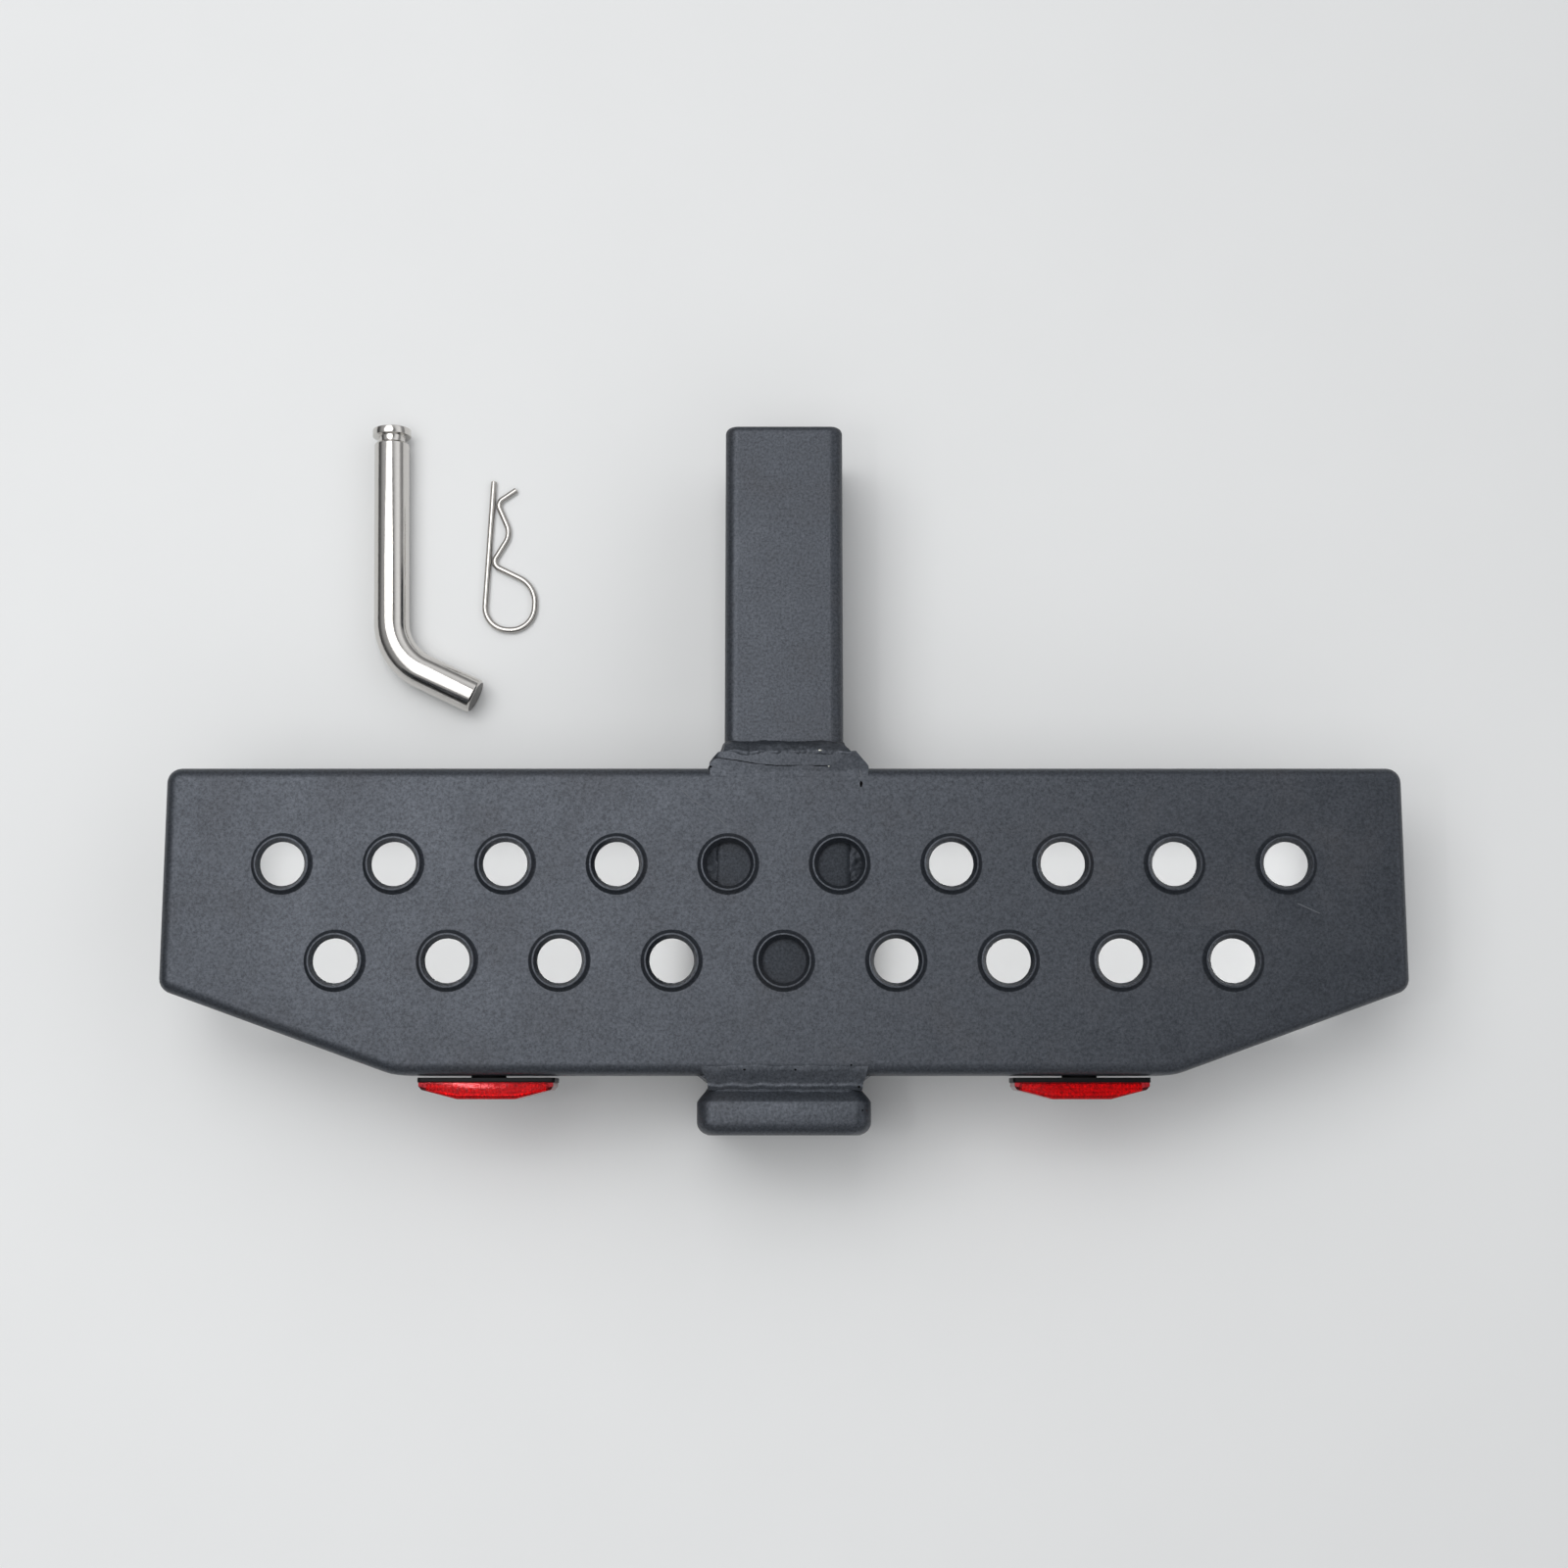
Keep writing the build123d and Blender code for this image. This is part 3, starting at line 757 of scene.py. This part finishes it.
# The front bead runs up over the deck's bend. Its front edge stops short of the tube's nose in a ragged line,
# and is drawn out over the nose only at the right. Both sides slant to the shank.
FRONT_CAP = (
    (-8.0, -30.5, 35.0, 2.6), (-5.5, -30.8, 35.2, 2.85), (-3.6, -31.2, 35.6, 2.92),
    (-1.6, -31.3, 35.8, 2.75), (0.0, -31.4, 35.9, 2.2),
)
FRONT_EDGE = (
    (-32.0, 0.2), (-30.0, 2.8), (-28.5, 4.0), (-24.0, 3.4), (-18.3, 2.6), (-10.5, 1.2), (-2.6, 0.4),
    (5.5, 0.8), (18.5, 0.6), (21.0, 1.6), (25.0, 5.4), (29.0, 7.6), (36.0, 7.8),
)
FRONT_DIP = ((18.0, 0.0), (21.0, 0.5), (25.0, 2.0), (36.0, 2.3))
LEFT_SIDE = ((-84.0, -32.6), (-82.0, -32.1), (-75.0, -28.6), (-69.0, -25.8))
RIGHT_SIDE = ((-84.0, 37.0), (-82.0, 36.2), (-75.0, 30.6), (-69.0, 26.4))
# The rear bead fills the step from the deck down to the collar, and ends there in a low ridge
REAR_CAP = (
    (-6.2, -31.2, 32.2, 0.1), (-5.4, -31.5, 32.5, 0.5), (-4.4, -31.7, 32.7, 0.95),
    (-3.3, -31.8, 32.8, 0.85), (-1.4, -32.4, 33.2, 1.45), (0.4, -33.6, 34.2, 2.1),
    (2.1, -34.2, 34.6, 2.65), (3.6, -34.4, 34.8, 2.88), (7.0, -34.4, 34.8, 2.6),
)
# The collar's bead goes on from the band's shoulder down to the tube: its length and radius, round and back
COLLAR_RING = (
    (0.0, 30.5), (0.0, 32.8), (0.8, 32.4), (1.6, 31.9), (2.4, 31.5), (4.0, 31.4), (4.0, 30.5), (0.0, 30.5)
)


class STEP_OT_weld_beads(Operator):
    """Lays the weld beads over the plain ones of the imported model"""

    bl_idname = "hitch_step.weld_beads"
    bl_label = "Lay the weld beads"

    def execute(self, context):
        weld = context.scene.step_welds
        front, rear, nose = deck_high.y / MM, deck_low.y / MM, tube_high.y / MM
        bead = copy_of("shank_weld", "bead_shank_to_tube")
        lay_bead(bead, weld, round_the_tube, 1, calm=0.45)
        dress_steel(context, bead, "shank_weld")
        cap = weld_cap("bead_over_shank", nose, SHANK_CAP, weld, seed=6, calm=0.8, edge=SHANK_EDGE)
        dress_steel(context, cap, "shank_weld")

        cap = weld_cap("bead_over_front", front, FRONT_CAP, weld, 2, 0.2, FRONT_EDGE, FRONT_DIP)
        legs = bead_legs("deck_front_weld", "bead_tube_to_deck_front", weld, seed=2)
        for piece in (cap, legs):
            for vertex in piece.data.vertices:
                left, right = [on_line(side, vertex.co.y / MM) * MM for side in (LEFT_SIDE, RIGHT_SIDE)]
                vertex.co.x = min(max(vertex.co.x, left), right)
            piece.data.update()
            dress_steel(context, piece, "deck_front_weld")

        saddle = weld_cap("bead_over_rear", rear, REAR_CAP, weld, seed=3, calm=0.25)
        legs = bead_legs("deck_rear_weld", "bead_tube_to_deck_rear", weld, seed=3)
        for piece in (saddle, legs):
            dress_steel(context, piece, "deck_rear_weld")

        corner, lap, cell = 6.2 * MM, 0.6 * MM, 1.2 * MM
        profile = [(h * MM, r * MM) for h, r in COLLAR_RING]
        bead = turned("bead_tube_to_collar", profile, 48, corner)
        lay_along_y(bead, (0, collar_high.y - lap, 0))
        dice(bead, cell, (0, 2))
        swell(bead, weld, round_the_tube, seed=4, calm=0.5)
        dress_steel(context, bead, "collar_weld")

        bead = copy_of("under_deck_weld", "bead_stitches_under_deck")
        lay_bead(bead, weld, along_the_tube, 5)
        # The stitches take the duller coat too: painted shade under the deck
        dress_steel(context, bead, "under_deck_weld", thin=True)
        return {"FINISHED"}


def lens_body(name, low, high, reflector, chamfer):
    """A lens block: a flat centre, ends that slant back, and a chamfer round the front."""
    middle, size = (low + high) / 2, high - low
    deselect()
    bpy.ops.mesh.primitive_cube_add(size=1.0, location=middle)
    bpy.context.object.scale = size
    piece = started(name)
    edit(piece)
    for side in (-1, 1):
        cut((middle.x + side * reflector.facet_width / 2, 0, 0), (1, 0, 0))
    leave()
    pick(piece, lambda v: abs(abs(v.x - middle.x) - size.x / 2) < NEAR and v.y < low.y + NEAR)
    bpy.ops.transform.translate(value=(0, size.y - reflector.end_depth, 0))
    pick(piece, lambda v: v.y < high.y - NEAR)
    bpy.ops.mesh.select_mode(type="EDGE")
    bpy.ops.mesh.region_to_loop()
    bpy.ops.mesh.bevel(offset=chamfer, segments=1, affect="EDGES")
    leave()
    close_skin(piece)
    return piece


class STEP_OT_reflectors(Operator):
    """Moulds the reflectors: the clear red lens over its prisms, and the black backing"""

    bl_idname = "hitch_step.reflectors"
    bl_label = "Mould the reflectors"

    def execute(self, context):
        reflector, finish = context.scene.step_reflectors, context.scene.step_finish
        acrylic = material_for("clear_red_acrylic", red_acrylic, finish)
        prisms = material_for("moulded_red_prisms", mirrored_prisms, finish)
        plastic = moulded("moulded_black_abs", finish.plastic, 0.38, grain_mm=0.6, depth_mm=0.03)
        wall, behind, lens_edge, prism_edge = reflector.wall, 0.35 * MM, 0.18 * MM, 0.3 * MM
        for side in SIDES:
            node = f"reflector_lens_{side}"
            low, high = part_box(node)
            lens = lens_body(f"lens_{side}", low, high, reflector, reflector.front_chamfer)
            round_edges(lens, lens_edge, 12)
            dress(lens, acrylic, "red_lens", node, smooth=12.0)

            inner_low = low + Vector((wall * 2, wall, wall))
            inner_high = high - Vector((wall * 2, behind, wall))
            block = lens_body(f"prisms_{side}", inner_low, inner_high, reflector, prism_edge)
            dice(block, reflector.prism_pitch)
            edit(block)
            bpy.ops.mesh.poke(offset=reflector.prism_height)
            leave()
            dress(block, prisms, "red_lens", node, smooth=5.0)

            node = f"reflector_backing_{side}"
            backing = copy_of(node, f"backing_{side}")
            modify(backing, "DECIMATE", decimate_type="DISSOLVE", angle_limit=math.radians(2))
            round_edges(backing, reflector.edge, 50)
            dress(backing, plastic, "black_plastic", node)
        return {"FINISHED"}


def rounded_ring(inner, outer, height, edge):
    """The profile of a flat ring with rounded edges, from its inner wall round and back."""
    corners = ((outer, 0.0, 0.0), (outer, height, 90.0), (inner, height, 180.0), (inner, 0.0, 270.0))
    steps, profile = 4, []
    for radius, z, start in corners:
        centre_r = radius + (edge if radius == inner else -edge)
        centre_z = z + (edge if z == 0.0 else -edge)
        for i in range(steps + 1):
            angle = math.radians(start - 90.0 + 90.0 * i / steps)
            profile.append((centre_z + edge * math.sin(angle), centre_r + edge * math.cos(angle)))
    return profile + profile[:1]


def threaded_stud(name, length, reflector):
    """A stud with a flat head and a screwed thread, upright at the origin."""
    head, height, pitch = reflector.stud_head_radius, reflector.stud_head_height, reflector.thread_pitch
    core, burr = reflector.stud_radius - reflector.thread_depth, 0.2 * MM
    start, tip = height + pitch, length - pitch * 0.6
    profile = [(0.0, head - burr), (burr, head), (height, head), (height, core), (tip, core)]
    stud = turned(name, [*profile, (length, core - pitch * 0.4)], ROUND)
    deselect()
    across = (math.radians(90.0), 0.0, 0.0)
    bpy.ops.mesh.primitive_circle_add(
        vertices=3, radius=pitch * 0.5, location=(core, 0, start), rotation=across
    )
    thread = started("thread")
    reach = max(v.co.x for v in thread.data.vertices) - NEAR
    for vertex in thread.data.vertices:
        vertex.co.x = reflector.stud_radius if vertex.co.x > reach else core - 0.05 * MM
    steps = {"steps": 32, "render_steps": 32, "iterations": int((tip - start) / pitch)}
    modify(thread, "SCREW", angle=math.radians(360.0), screw_offset=pitch, **steps)
    close_skin(thread)
    return join(stud, [thread])


def hexagon_nut(node, name, spot):
    """A packed nut whose corners are turned off towards both faces, a little inside its flats."""
    low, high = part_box(node)
    height, corner = high.y - low.y, max(high.x - low.x, high.z - low.z) / 2
    slope = math.radians(30.0)
    face = corner * math.cos(slope) * 0.97
    crown = (corner - face) * math.tan(slope)
    nut = copy_of(node, name)
    profile = [(0.0, face), (crown, corner), (height - crown, corner), (height, face)]
    cutter = turned("nut_crown", profile, ROUND)
    lay_along_y(cutter, spot)
    modify(nut, "BOOLEAN", operation="INTERSECT", object=cutter, solver="EXACT")
    bpy.data.objects.remove(cutter)
    return nut


class STEP_OT_reflector_fasteners(Operator):
    """Makes the studs with their threads, the washers, the nuts and the rubber spacers"""

    bl_idname = "hitch_step.reflector_fasteners"
    bl_label = "Fit the reflectors' fasteners"

    def execute(self, context):
        reflector, finish = context.scene.step_reflectors, context.scene.step_finish
        zinc = material_for("bright_zinc_plate", zinc_plate, finish)
        rubber = moulded("moulded_black_rubber", finish.rubber, 0.75, grain_mm=0.5, depth_mm=0.04)
        clearance = 0.15 * MM
        bore, roundings = reflector.stud_radius + clearance, {"washer": 0.6, "spacer": 1.0}
        for side in SIDES:
            stud_low, stud_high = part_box(f"reflector_stud_{side}")
            middle = (stud_low + stud_high) / 2
            for kind in ("stud", "washer", "nut", "spacer"):
                node, name = f"reflector_{kind}_{side}", f"{kind}_{side}"
                low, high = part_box(node)
                spot, length = (middle.x, low.y, middle.z), high.y - low.y
                if kind == "nut":
                    piece = hexagon_nut(node, name, spot)
                else:
                    if kind == "stud":
                        piece = threaded_stud(name, length, reflector)
                    else:
                        rounding = reflector.edge * roundings[kind]
                        profile = rounded_ring(bore, (high.x - low.x) / 2, length, rounding)
                        piece = turned(name, profile, ROUND)
                    lay_along_y(piece, spot)
                if kind == "spacer":
                    dress(piece, rubber, "black_rubber", node)
                else:
                    dress(piece, zinc, "zinc_plated_steel", node, smooth=25.0 if kind == "stud" else 35.0)
        return {"FINISHED"}


def bend_bar(name, start, corners, bends, head, tail, segments):
    """A round bar bent flat above the floor. It runs from its start to each corner in turn, is bent there
    by that corner's radius, and ends at the last corner. head and tail are the (distance from that end,
    radius) steps of its two ends."""
    heading = (corners[0] - start).normalized()
    distance, radius = head[0]
    here = start + heading * distance
    deselect()
    bpy.ops.mesh.primitive_circle_add(
        vertices=segments,
        radius=radius,
        location=here,
        rotation=(0.0, math.radians(90.0), math.atan2(heading.y, heading.x)),
    )
    edit(started(name))
    bpy.ops.mesh.select_mode(type="EDGE")
    bpy.ops.mesh.select_all(action="SELECT")
    bpy.ops.mesh.edge_face_add()
    for distance, next_radius in head[1:]:
        spot = start + heading * distance
        ring_on(spot - here, next_radius / radius, spot)
        here, radius = spot, next_radius
    for corner, following_corner, bend in zip(corners, corners[1:], bends):
        following = (following_corner - corner).normalized()
        turn = math.atan2(heading.cross(following).z, heading.dot(following))
        setback = bend * math.tan(abs(turn) / 2)
        bend_start = corner - heading * setback
        if (bend_start - here).length > 2 * NEAR:
            ring_on(bend_start - here, 1.0, bend_start)
        centre = bend_start + Vector((-heading.y, heading.x, 0)) * math.copysign(bend, turn)
        steps = max(6, round(abs(turn) / math.radians(4.0)))
        bpy.ops.mesh.spin(steps=steps, angle=-turn, center=centre, axis=(0, 0, 1))
        here = corner + following * setback
        heading = following
    for distance, next_radius in tail:
        spot = corners[-1] - heading * distance
        ring_on(spot - here, next_radius / radius, spot)
        here, radius = spot, next_radius
    bpy.ops.mesh.edge_face_add()
    leave()
    close_skin(bpy.context.object)
    return bpy.context.object


def on_the_floor(spot, lean, height, points):
    """Points of a bar's own drawing, turned by its lean and laid round its spot at that height."""
    across = Vector((math.cos(lean), math.sin(lean), 0))
    along = Vector((-math.sin(lean), math.cos(lean), 0))
    return [Vector((*spot, height)) + across * x + along * y for x, y in points]


class STEP_OT_hitch_pin(Operator):
    """Turns, grooves and bends the hitch pin"""

    bl_idname = "hitch_step.hitch_pin"
    bl_label = "Bend the hitch pin"

    def execute(self, context):
        pin, finish = context.scene.step_pin, context.scene.step_finish
        ball = (pin.head_radius**2 + pin.head_dome**2) / (2 * pin.head_dome)
        span = math.asin(pin.head_radius / ball)
        rings = 10
        arc = [span * i / rings for i in range(1, rings + 1)]
        dome = [(ball * (1 - math.cos(a)), ball * math.sin(a)) for a in arc]
        head_base = pin.head_dome + pin.head_rim
        shaft = head_base + pin.groove_length
        head = [
            *dome,
            (head_base, pin.head_radius),
            (head_base, pin.groove_radius),
            (shaft, pin.groove_radius),
            (shaft, pin.radius - pin.end_chamfer),
            (shaft + pin.end_chamfer, pin.radius),
        ]
        leg_end = (pin.leg * math.sin(pin.turn), -pin.leg * math.cos(pin.turn))
        points = [(0.0, pin.straight), (0.0, 0.0), leg_end]
        start, *corners = on_the_floor(pin.spot, pin.lean, ground + pin.head_radius, points)
        tail = [(pin.end_chamfer, pin.radius), (0.0, pin.radius - pin.end_chamfer)]
        bar = bend_bar("bent_pin", start, corners, [pin.bend_radius], head, tail, pin.segments)
        round_edges(bar, 0.22 * MM, 28)
        plate = bright_plate("polished_chrome_plate", finish.plate, smooth=0.1, scuffed=0.24)
        dress(bar, plate, "bright_chrome", "hitch_pin")
        # The cut end face gets a darker, duller metal than the rest of the pin
        sawn = bright_plate("dull_sawn_end", finish.sawn, smooth=0.3, scuffed=0.45)
        bar.data.materials.append(sawn)
        along = (corners[-1] - corners[-2]).normalized()
        for face in bar.data.polygons:
            at_end = (face.center - corners[-1]).length < pin.radius
            face.material_index = int(at_end and face.normal.dot(along) > 0.95)
        return {"FINISHED"}


class STEP_OT_pin_clip(Operator):
    """Bends the spring clip from its wire"""

    bl_idname = "hitch_step.pin_clip"
    bl_label = "Bend the spring clip"

    def execute(self, context):
        pin, finish = context.scene.step_pin, context.scene.step_finish
        # The wire's drawing: a straight leg, a loop and a waved leg, with the radius of each bend
        pinch, loop_width = pin.wire + 0.3 * MM, 22.6 * MM
        points = [(0.0, 69.5 * MM), (0.0, 0.0), (loop_width, 0.0), (loop_width, 21.2 * MM)]
        waves = ((-1.4, 30.2), (6.3, 45.0), (-0.9, 59.4), (7.6, 66.0))
        points += [(pinch + x * MM, y * MM) for x, y in waves]
        bends = [radius * MM for radius in (10.8, 10.8, 13.0, 3.4, 9.0, 3.6)]
        wire, burr = pin.wire / 2, 0.35 * MM
        start, *corners = on_the_floor(pin.clip_spot, pin.clip_lean, ground + wire, points)
        head = [(0.0, wire - burr), (burr, wire)]
        clip = bend_bar("spring_clip", start, corners, bends, head, head[::-1], 32)
        plate = bright_plate("plated_spring_wire", finish.wire, smooth=0.16, scuffed=0.32)
        dress(clip, plate, "bright_chrome", "pin_clip")
        return {"FINISHED"}


def surface_under(x, y):
    """The highest point of the shown pieces below a spot of the plan."""
    over, down = Vector((x, y, 1.0)), Vector((0, 0, -1))
    hit, spot, *rest = bpy.context.scene.ray_cast(bpy.context.view_layer.depsgraph, over, down)
    if not hit:
        raise RuntimeError(f"nothing lies below {x:.4f}, {y:.4f}")
    return spot


def speck(x, y, size, turn=0.0):
    """A small flat blister on the surface below a spot, as long and as wide as size says."""
    deselect()
    bpy.ops.mesh.primitive_ico_sphere_add(subdivisions=2, radius=0.5, location=surface_under(x, y))
    piece = bpy.context.object
    piece.scale = (size[0], size[1], min(size) * 0.3)
    piece.rotation_euler.z = turn
    piece = started("speck")
    for vertex in piece.data.vertices:
        away = vertex.co - Vector((x, y, vertex.co.z))
        vertex.co += away * noise.noise(vertex.co / (0.5 * min(size))) * 0.25
    return piece


def trail(spots, width, step=1.1):
    """Specks in a row along a line of spots, in millimetres: a scratch, or painted shade along a gap, that
    follows the surface.
    """
    specks = []
    for start, end in zip(spots, spots[1:]):
        start, run = Vector(start), Vector(end) - Vector(start)
        count = max(1, round(run.length / step))
        for i in range(count):
            x, y = (start + run * (i + 0.5) / count) * MM
            size = (run.length / count * 1.5 * MM, width * MM)
            specks.append(speck(x, y, size, math.atan2(run.y, run.x)))
    return specks


# Marks seen in the photograph, in millimetres on the plan: a place with the mark's length and width, or a
# line of places. The gap, left open along the front bead's edge, and the pinholes are near-black specks:
# painted shade.
PINHOLES = (
    (-30.8, -81.9, 1.3, 1.1), (32.4, -89.3, 1.3, 2.7), (-16.3, -208.2, 1.2, 0.9), (4.7, -208.2, 1.1, 0.9),
    (27.7, -206.3, 0.9, 0.9), (31.0, -215.2, 1.3, 1.0), (32.1, -224.8, 0.8, 0.9),
)
CHIPS = ((15.2, -74.5, 1.5, 0.7), (18.9, -81.6, 0.8, 0.5))
SCRATCHES = (
    ((-43.5, -91.2), (-38.0, -96.4), (-34.0, -98.6)),
    ((-33.0, -99.4), (-27.0, -104.1), (-23.6, -107.4)),
    ((214.0, -139.6), (223.0, -143.7)),
    ((31.9, -83.4), (32.6, -87.0)),
)
GAP = (
    (-28.8, -77.5), (-24.0, -78.2), (-18.3, -79.0), (-11.0, -80.3), (-3.0, -81.0), (5.5, -80.9), (19.0, -81.1)
)


class STEP_OT_coat_marks(Operator):
    """Puts in near-black specks as painted shade for the coat's pinholes by the welds and the gap along the
    front bead, and its two small chips and its faint scratches
    """

    bl_idname = "hitch_step.coat_marks"
    bl_label = "Mark the coat"

    def execute(self, context):
        finish = context.scene.step_finish
        bare = material_for("bright_zinc_plate", zinc_plate, finish)
        # Near-black specks: painted shade in the pinholes and along the front bead's gap
        painted_hole_shade = moulded("painted_shade_pinhole", linear("#050506"), 0.9, grain_mm=0.5, depth_mm=0.02)
        rubbed = moulded("rubbed_powder_coat", finish.rubbed, 0.5, grain_mm=0.5, depth_mm=0.02)
        shade_specks, nicks = [
            [speck(x * MM, y * MM, (long * MM, wide * MM)) for x, y, long, wide in marks]
            for marks in (PINHOLES, CHIPS)
        ]
        lines = [mark for scratch in SCRATCHES for mark in trail(scratch, 0.45)]
        shade_specks += trail(GAP, 0.42, 0.7)
        made = (("painted_shade_pinholes_and_gap", painted_hole_shade, shade_specks), ("coat_chips", bare, nicks), ("coat_scratches", rubbed, lines))
        for name, look, specks in made:
            piece = join(specks[0], specks[1:])
            piece.name = name
            dress(piece, look, "black_powder_coat")
        return {"FINISHED"}


def soft_light(name, location, aim, size, power, spread=180.0):
    """A soft rectangular lamp that looks at a place."""
    deselect()
    bpy.ops.object.light_add(type="AREA", location=location)
    lamp = bpy.context.object
    lamp.name = name
    lamp.rotation_euler = (Vector(aim) - Vector(location)).to_track_quat("-Z", "Y").to_euler()
    lamp.data.shape = "RECTANGLE"
    lamp.data.size, lamp.data.size_y = size
    lamp.data.energy = power
    lamp.data.spread = math.radians(spread)
    return lamp


def studio_air(ambient):
    """Light from the room's pale walls: strongest halfway up, weak overhead and low down, and weaker on the
    left and behind the step."""
    world = bpy.data.worlds.new("studio_air")
    world.use_nodes = True
    tree = world.node_tree
    way = add_node(tree, "TexCoord", output="Generated")
    height = add_node(tree, "SeparateXYZ", links={"Vector": way}, output="Z")
    walls = add_node(tree, "FloatCurve", links={"Value": height})
    curve = walls.node.mapping.curves[0]
    curve.points[0].location = (0.0, 0.25)
    curve.points[1].location = (1.0, 0.12)
    for spot in ((0.3, 0.35), (0.55, 1.0), (0.75, 0.9), (0.9, 0.25)):
        curve.points.new(*spot)
    walls.node.mapping.update()
    right = {"operation": "DOT_PRODUCT", 1: Vector((0.6, 0.2, 0.0))}
    toward = add_node(tree, "VectorMath", right, {0: way}, "Value")
    side = add_node(tree, "Math", {"operation": "ADD", 1: 1.0}, {0: toward})
    shade = add_node(tree, "Math", {"operation": "MULTIPLY"}, {0: walls, 1: side})
    seen = add_node(tree, "LightPath", output="Is Camera Ray")
    strength = add_node(tree, "Mix", {"data_type": "FLOAT", 3: 0.9}, {0: seen, 2: shade})
    scaled = add_node(tree, "Math", {"operation": "MULTIPLY", 1: ambient}, {0: strength})
    background = tree.nodes["Background"]
    background.inputs["Color"].default_value = linear("#fcfdff")
    feed(background, Strength=scaled)
    bpy.context.scene.world = world


class STEP_OT_studio(Operator):
    """Lays the pale floor, hangs the lamps and sets the camera above the step"""

    bl_idname = "hitch_step.studio"
    bl_label = "Set up the studio"

    def execute(self, context):
        studio, finish = context.scene.step_studio, context.scene.step_finish
        deselect()
        floor_size, under = 12.0, 0.02 * MM
        bpy.ops.mesh.primitive_plane_add(size=floor_size, location=(0, 0, ground - under))
        floor = started("studio_floor")
        floor.data.materials.append(material_for("pale_studio_paper", seamless_paper, finish))

        soft_light("key_soft_box", (-0.53, 0.61, 1.9), (0.0, -0.1, 0.0), (1.5, 1.2), studio.key_power)
        left, back = -0.68, -0.17
        soft_light("overhead_panel", (left, back, 2.16), (left, back, 0.0), (2.0, 2.05), studio.panel_power)
        # The lamps under the deck's two wings, which no camera ray sees
        reach = (tube_high.x + 10 * MM, deck_high.x - 24 * MM)
        size = (reach[1] - reach[0], 0.08)
        for side in (-1, 1):
            x, y, z = side * sum(reach) / 2, -0.142, 0.004
            lamp = soft_light("floor_bounce", (x, y, z), (x, y, ground), size, studio.bounce_power, 50.0)
            lamp.visible_camera = False
            lamp.visible_glossy = False
        # A narrow bare lamp whose shine stands on the left lens only
        spot, lens = (-0.266, -0.230, 0.94), (-0.133, -0.2145, 0.02)
        soft_light("bare_lamp", spot, lens, (0.08, 0.016), studio.lamp_power)
        studio_air(studio.ambient)

        bpy.ops.object.camera_add(
            location=(0.0, studio.behind, studio.height), rotation=(studio.tilt, 0.0, 0.0)
        )
        camera = context.object
        camera.name = "studio_camera"
        camera.data.lens = studio.lens
        camera.data.sensor_width = 36.0
        camera.data.clip_start = 0.01
        context.scene.camera = camera
        context.scene.view_settings.view_transform = "Standard"
        return {"FINISHED"}


class STEP_PT_panel(Panel):
    """The step's operators and settings in the 3D view's sidebar"""

    bl_idname = "STEP_PT_panel"
    bl_label = "Hitch Step"
    bl_space_type = "VIEW_3D"
    bl_region_type = "UI"
    bl_category = "Hitch Step"

    def draw(self, context):
        for operator in OPERATORS:
            self.layout.operator(operator.bl_idname)
        for name in SETTINGS:
            box = self.layout.box()
            settings = getattr(context.scene, name)
            for prop in settings.bl_rna.properties:
                if prop.identifier not in ("rna_type", "name"):
                    box.prop(settings, prop.identifier)


SETTINGS = {
    "step_deck": DeckSettings,
    "step_collar": CollarSettings,
    "step_welds": WeldSettings,
    "step_reflectors": ReflectorSettings,
    "step_pin": PinSettings,
    "step_finish": FinishSettings,
    "step_studio": StudioSettings,
}
OPERATORS = (
    STEP_OT_coat_steel,
    STEP_OT_deck_pan,
    STEP_OT_collar_band,
    STEP_OT_weld_beads,
    STEP_OT_reflectors,
    STEP_OT_reflector_fasteners,
    STEP_OT_hitch_pin,
    STEP_OT_pin_clip,
    STEP_OT_coat_marks,
    STEP_OT_studio,
)


def register():
    """Registers the settings, the operators and the panel."""
    for made in (*SETTINGS.values(), *OPERATORS, STEP_PT_panel):
        bpy.utils.register_class(made)
    for name, settings in SETTINGS.items():
        setattr(bpy.types.Scene, name, PointerProperty(type=settings))


def unregister():
    """Takes the panel, the operators and the settings away again."""
    for name in SETTINGS:
        delattr(bpy.types.Scene, name)
    for made in (STEP_PT_panel, *reversed(OPERATORS), *reversed(SETTINGS.values())):
        bpy.utils.unregister_class(made)


def main():
    register()
    bpy.ops.hitch_step.coat_steel()
    bpy.ops.hitch_step.deck_pan()
    bpy.ops.hitch_step.collar_band()
    bpy.ops.hitch_step.weld_beads()
    bpy.ops.hitch_step.reflectors()
    bpy.ops.hitch_step.reflector_fasteners()
    bpy.ops.hitch_step.hitch_pin()
    bpy.ops.hitch_step.pin_clip()
    bpy.ops.hitch_step.coat_marks()
    bpy.ops.hitch_step.studio()


if __name__ == "__main__":
    main()
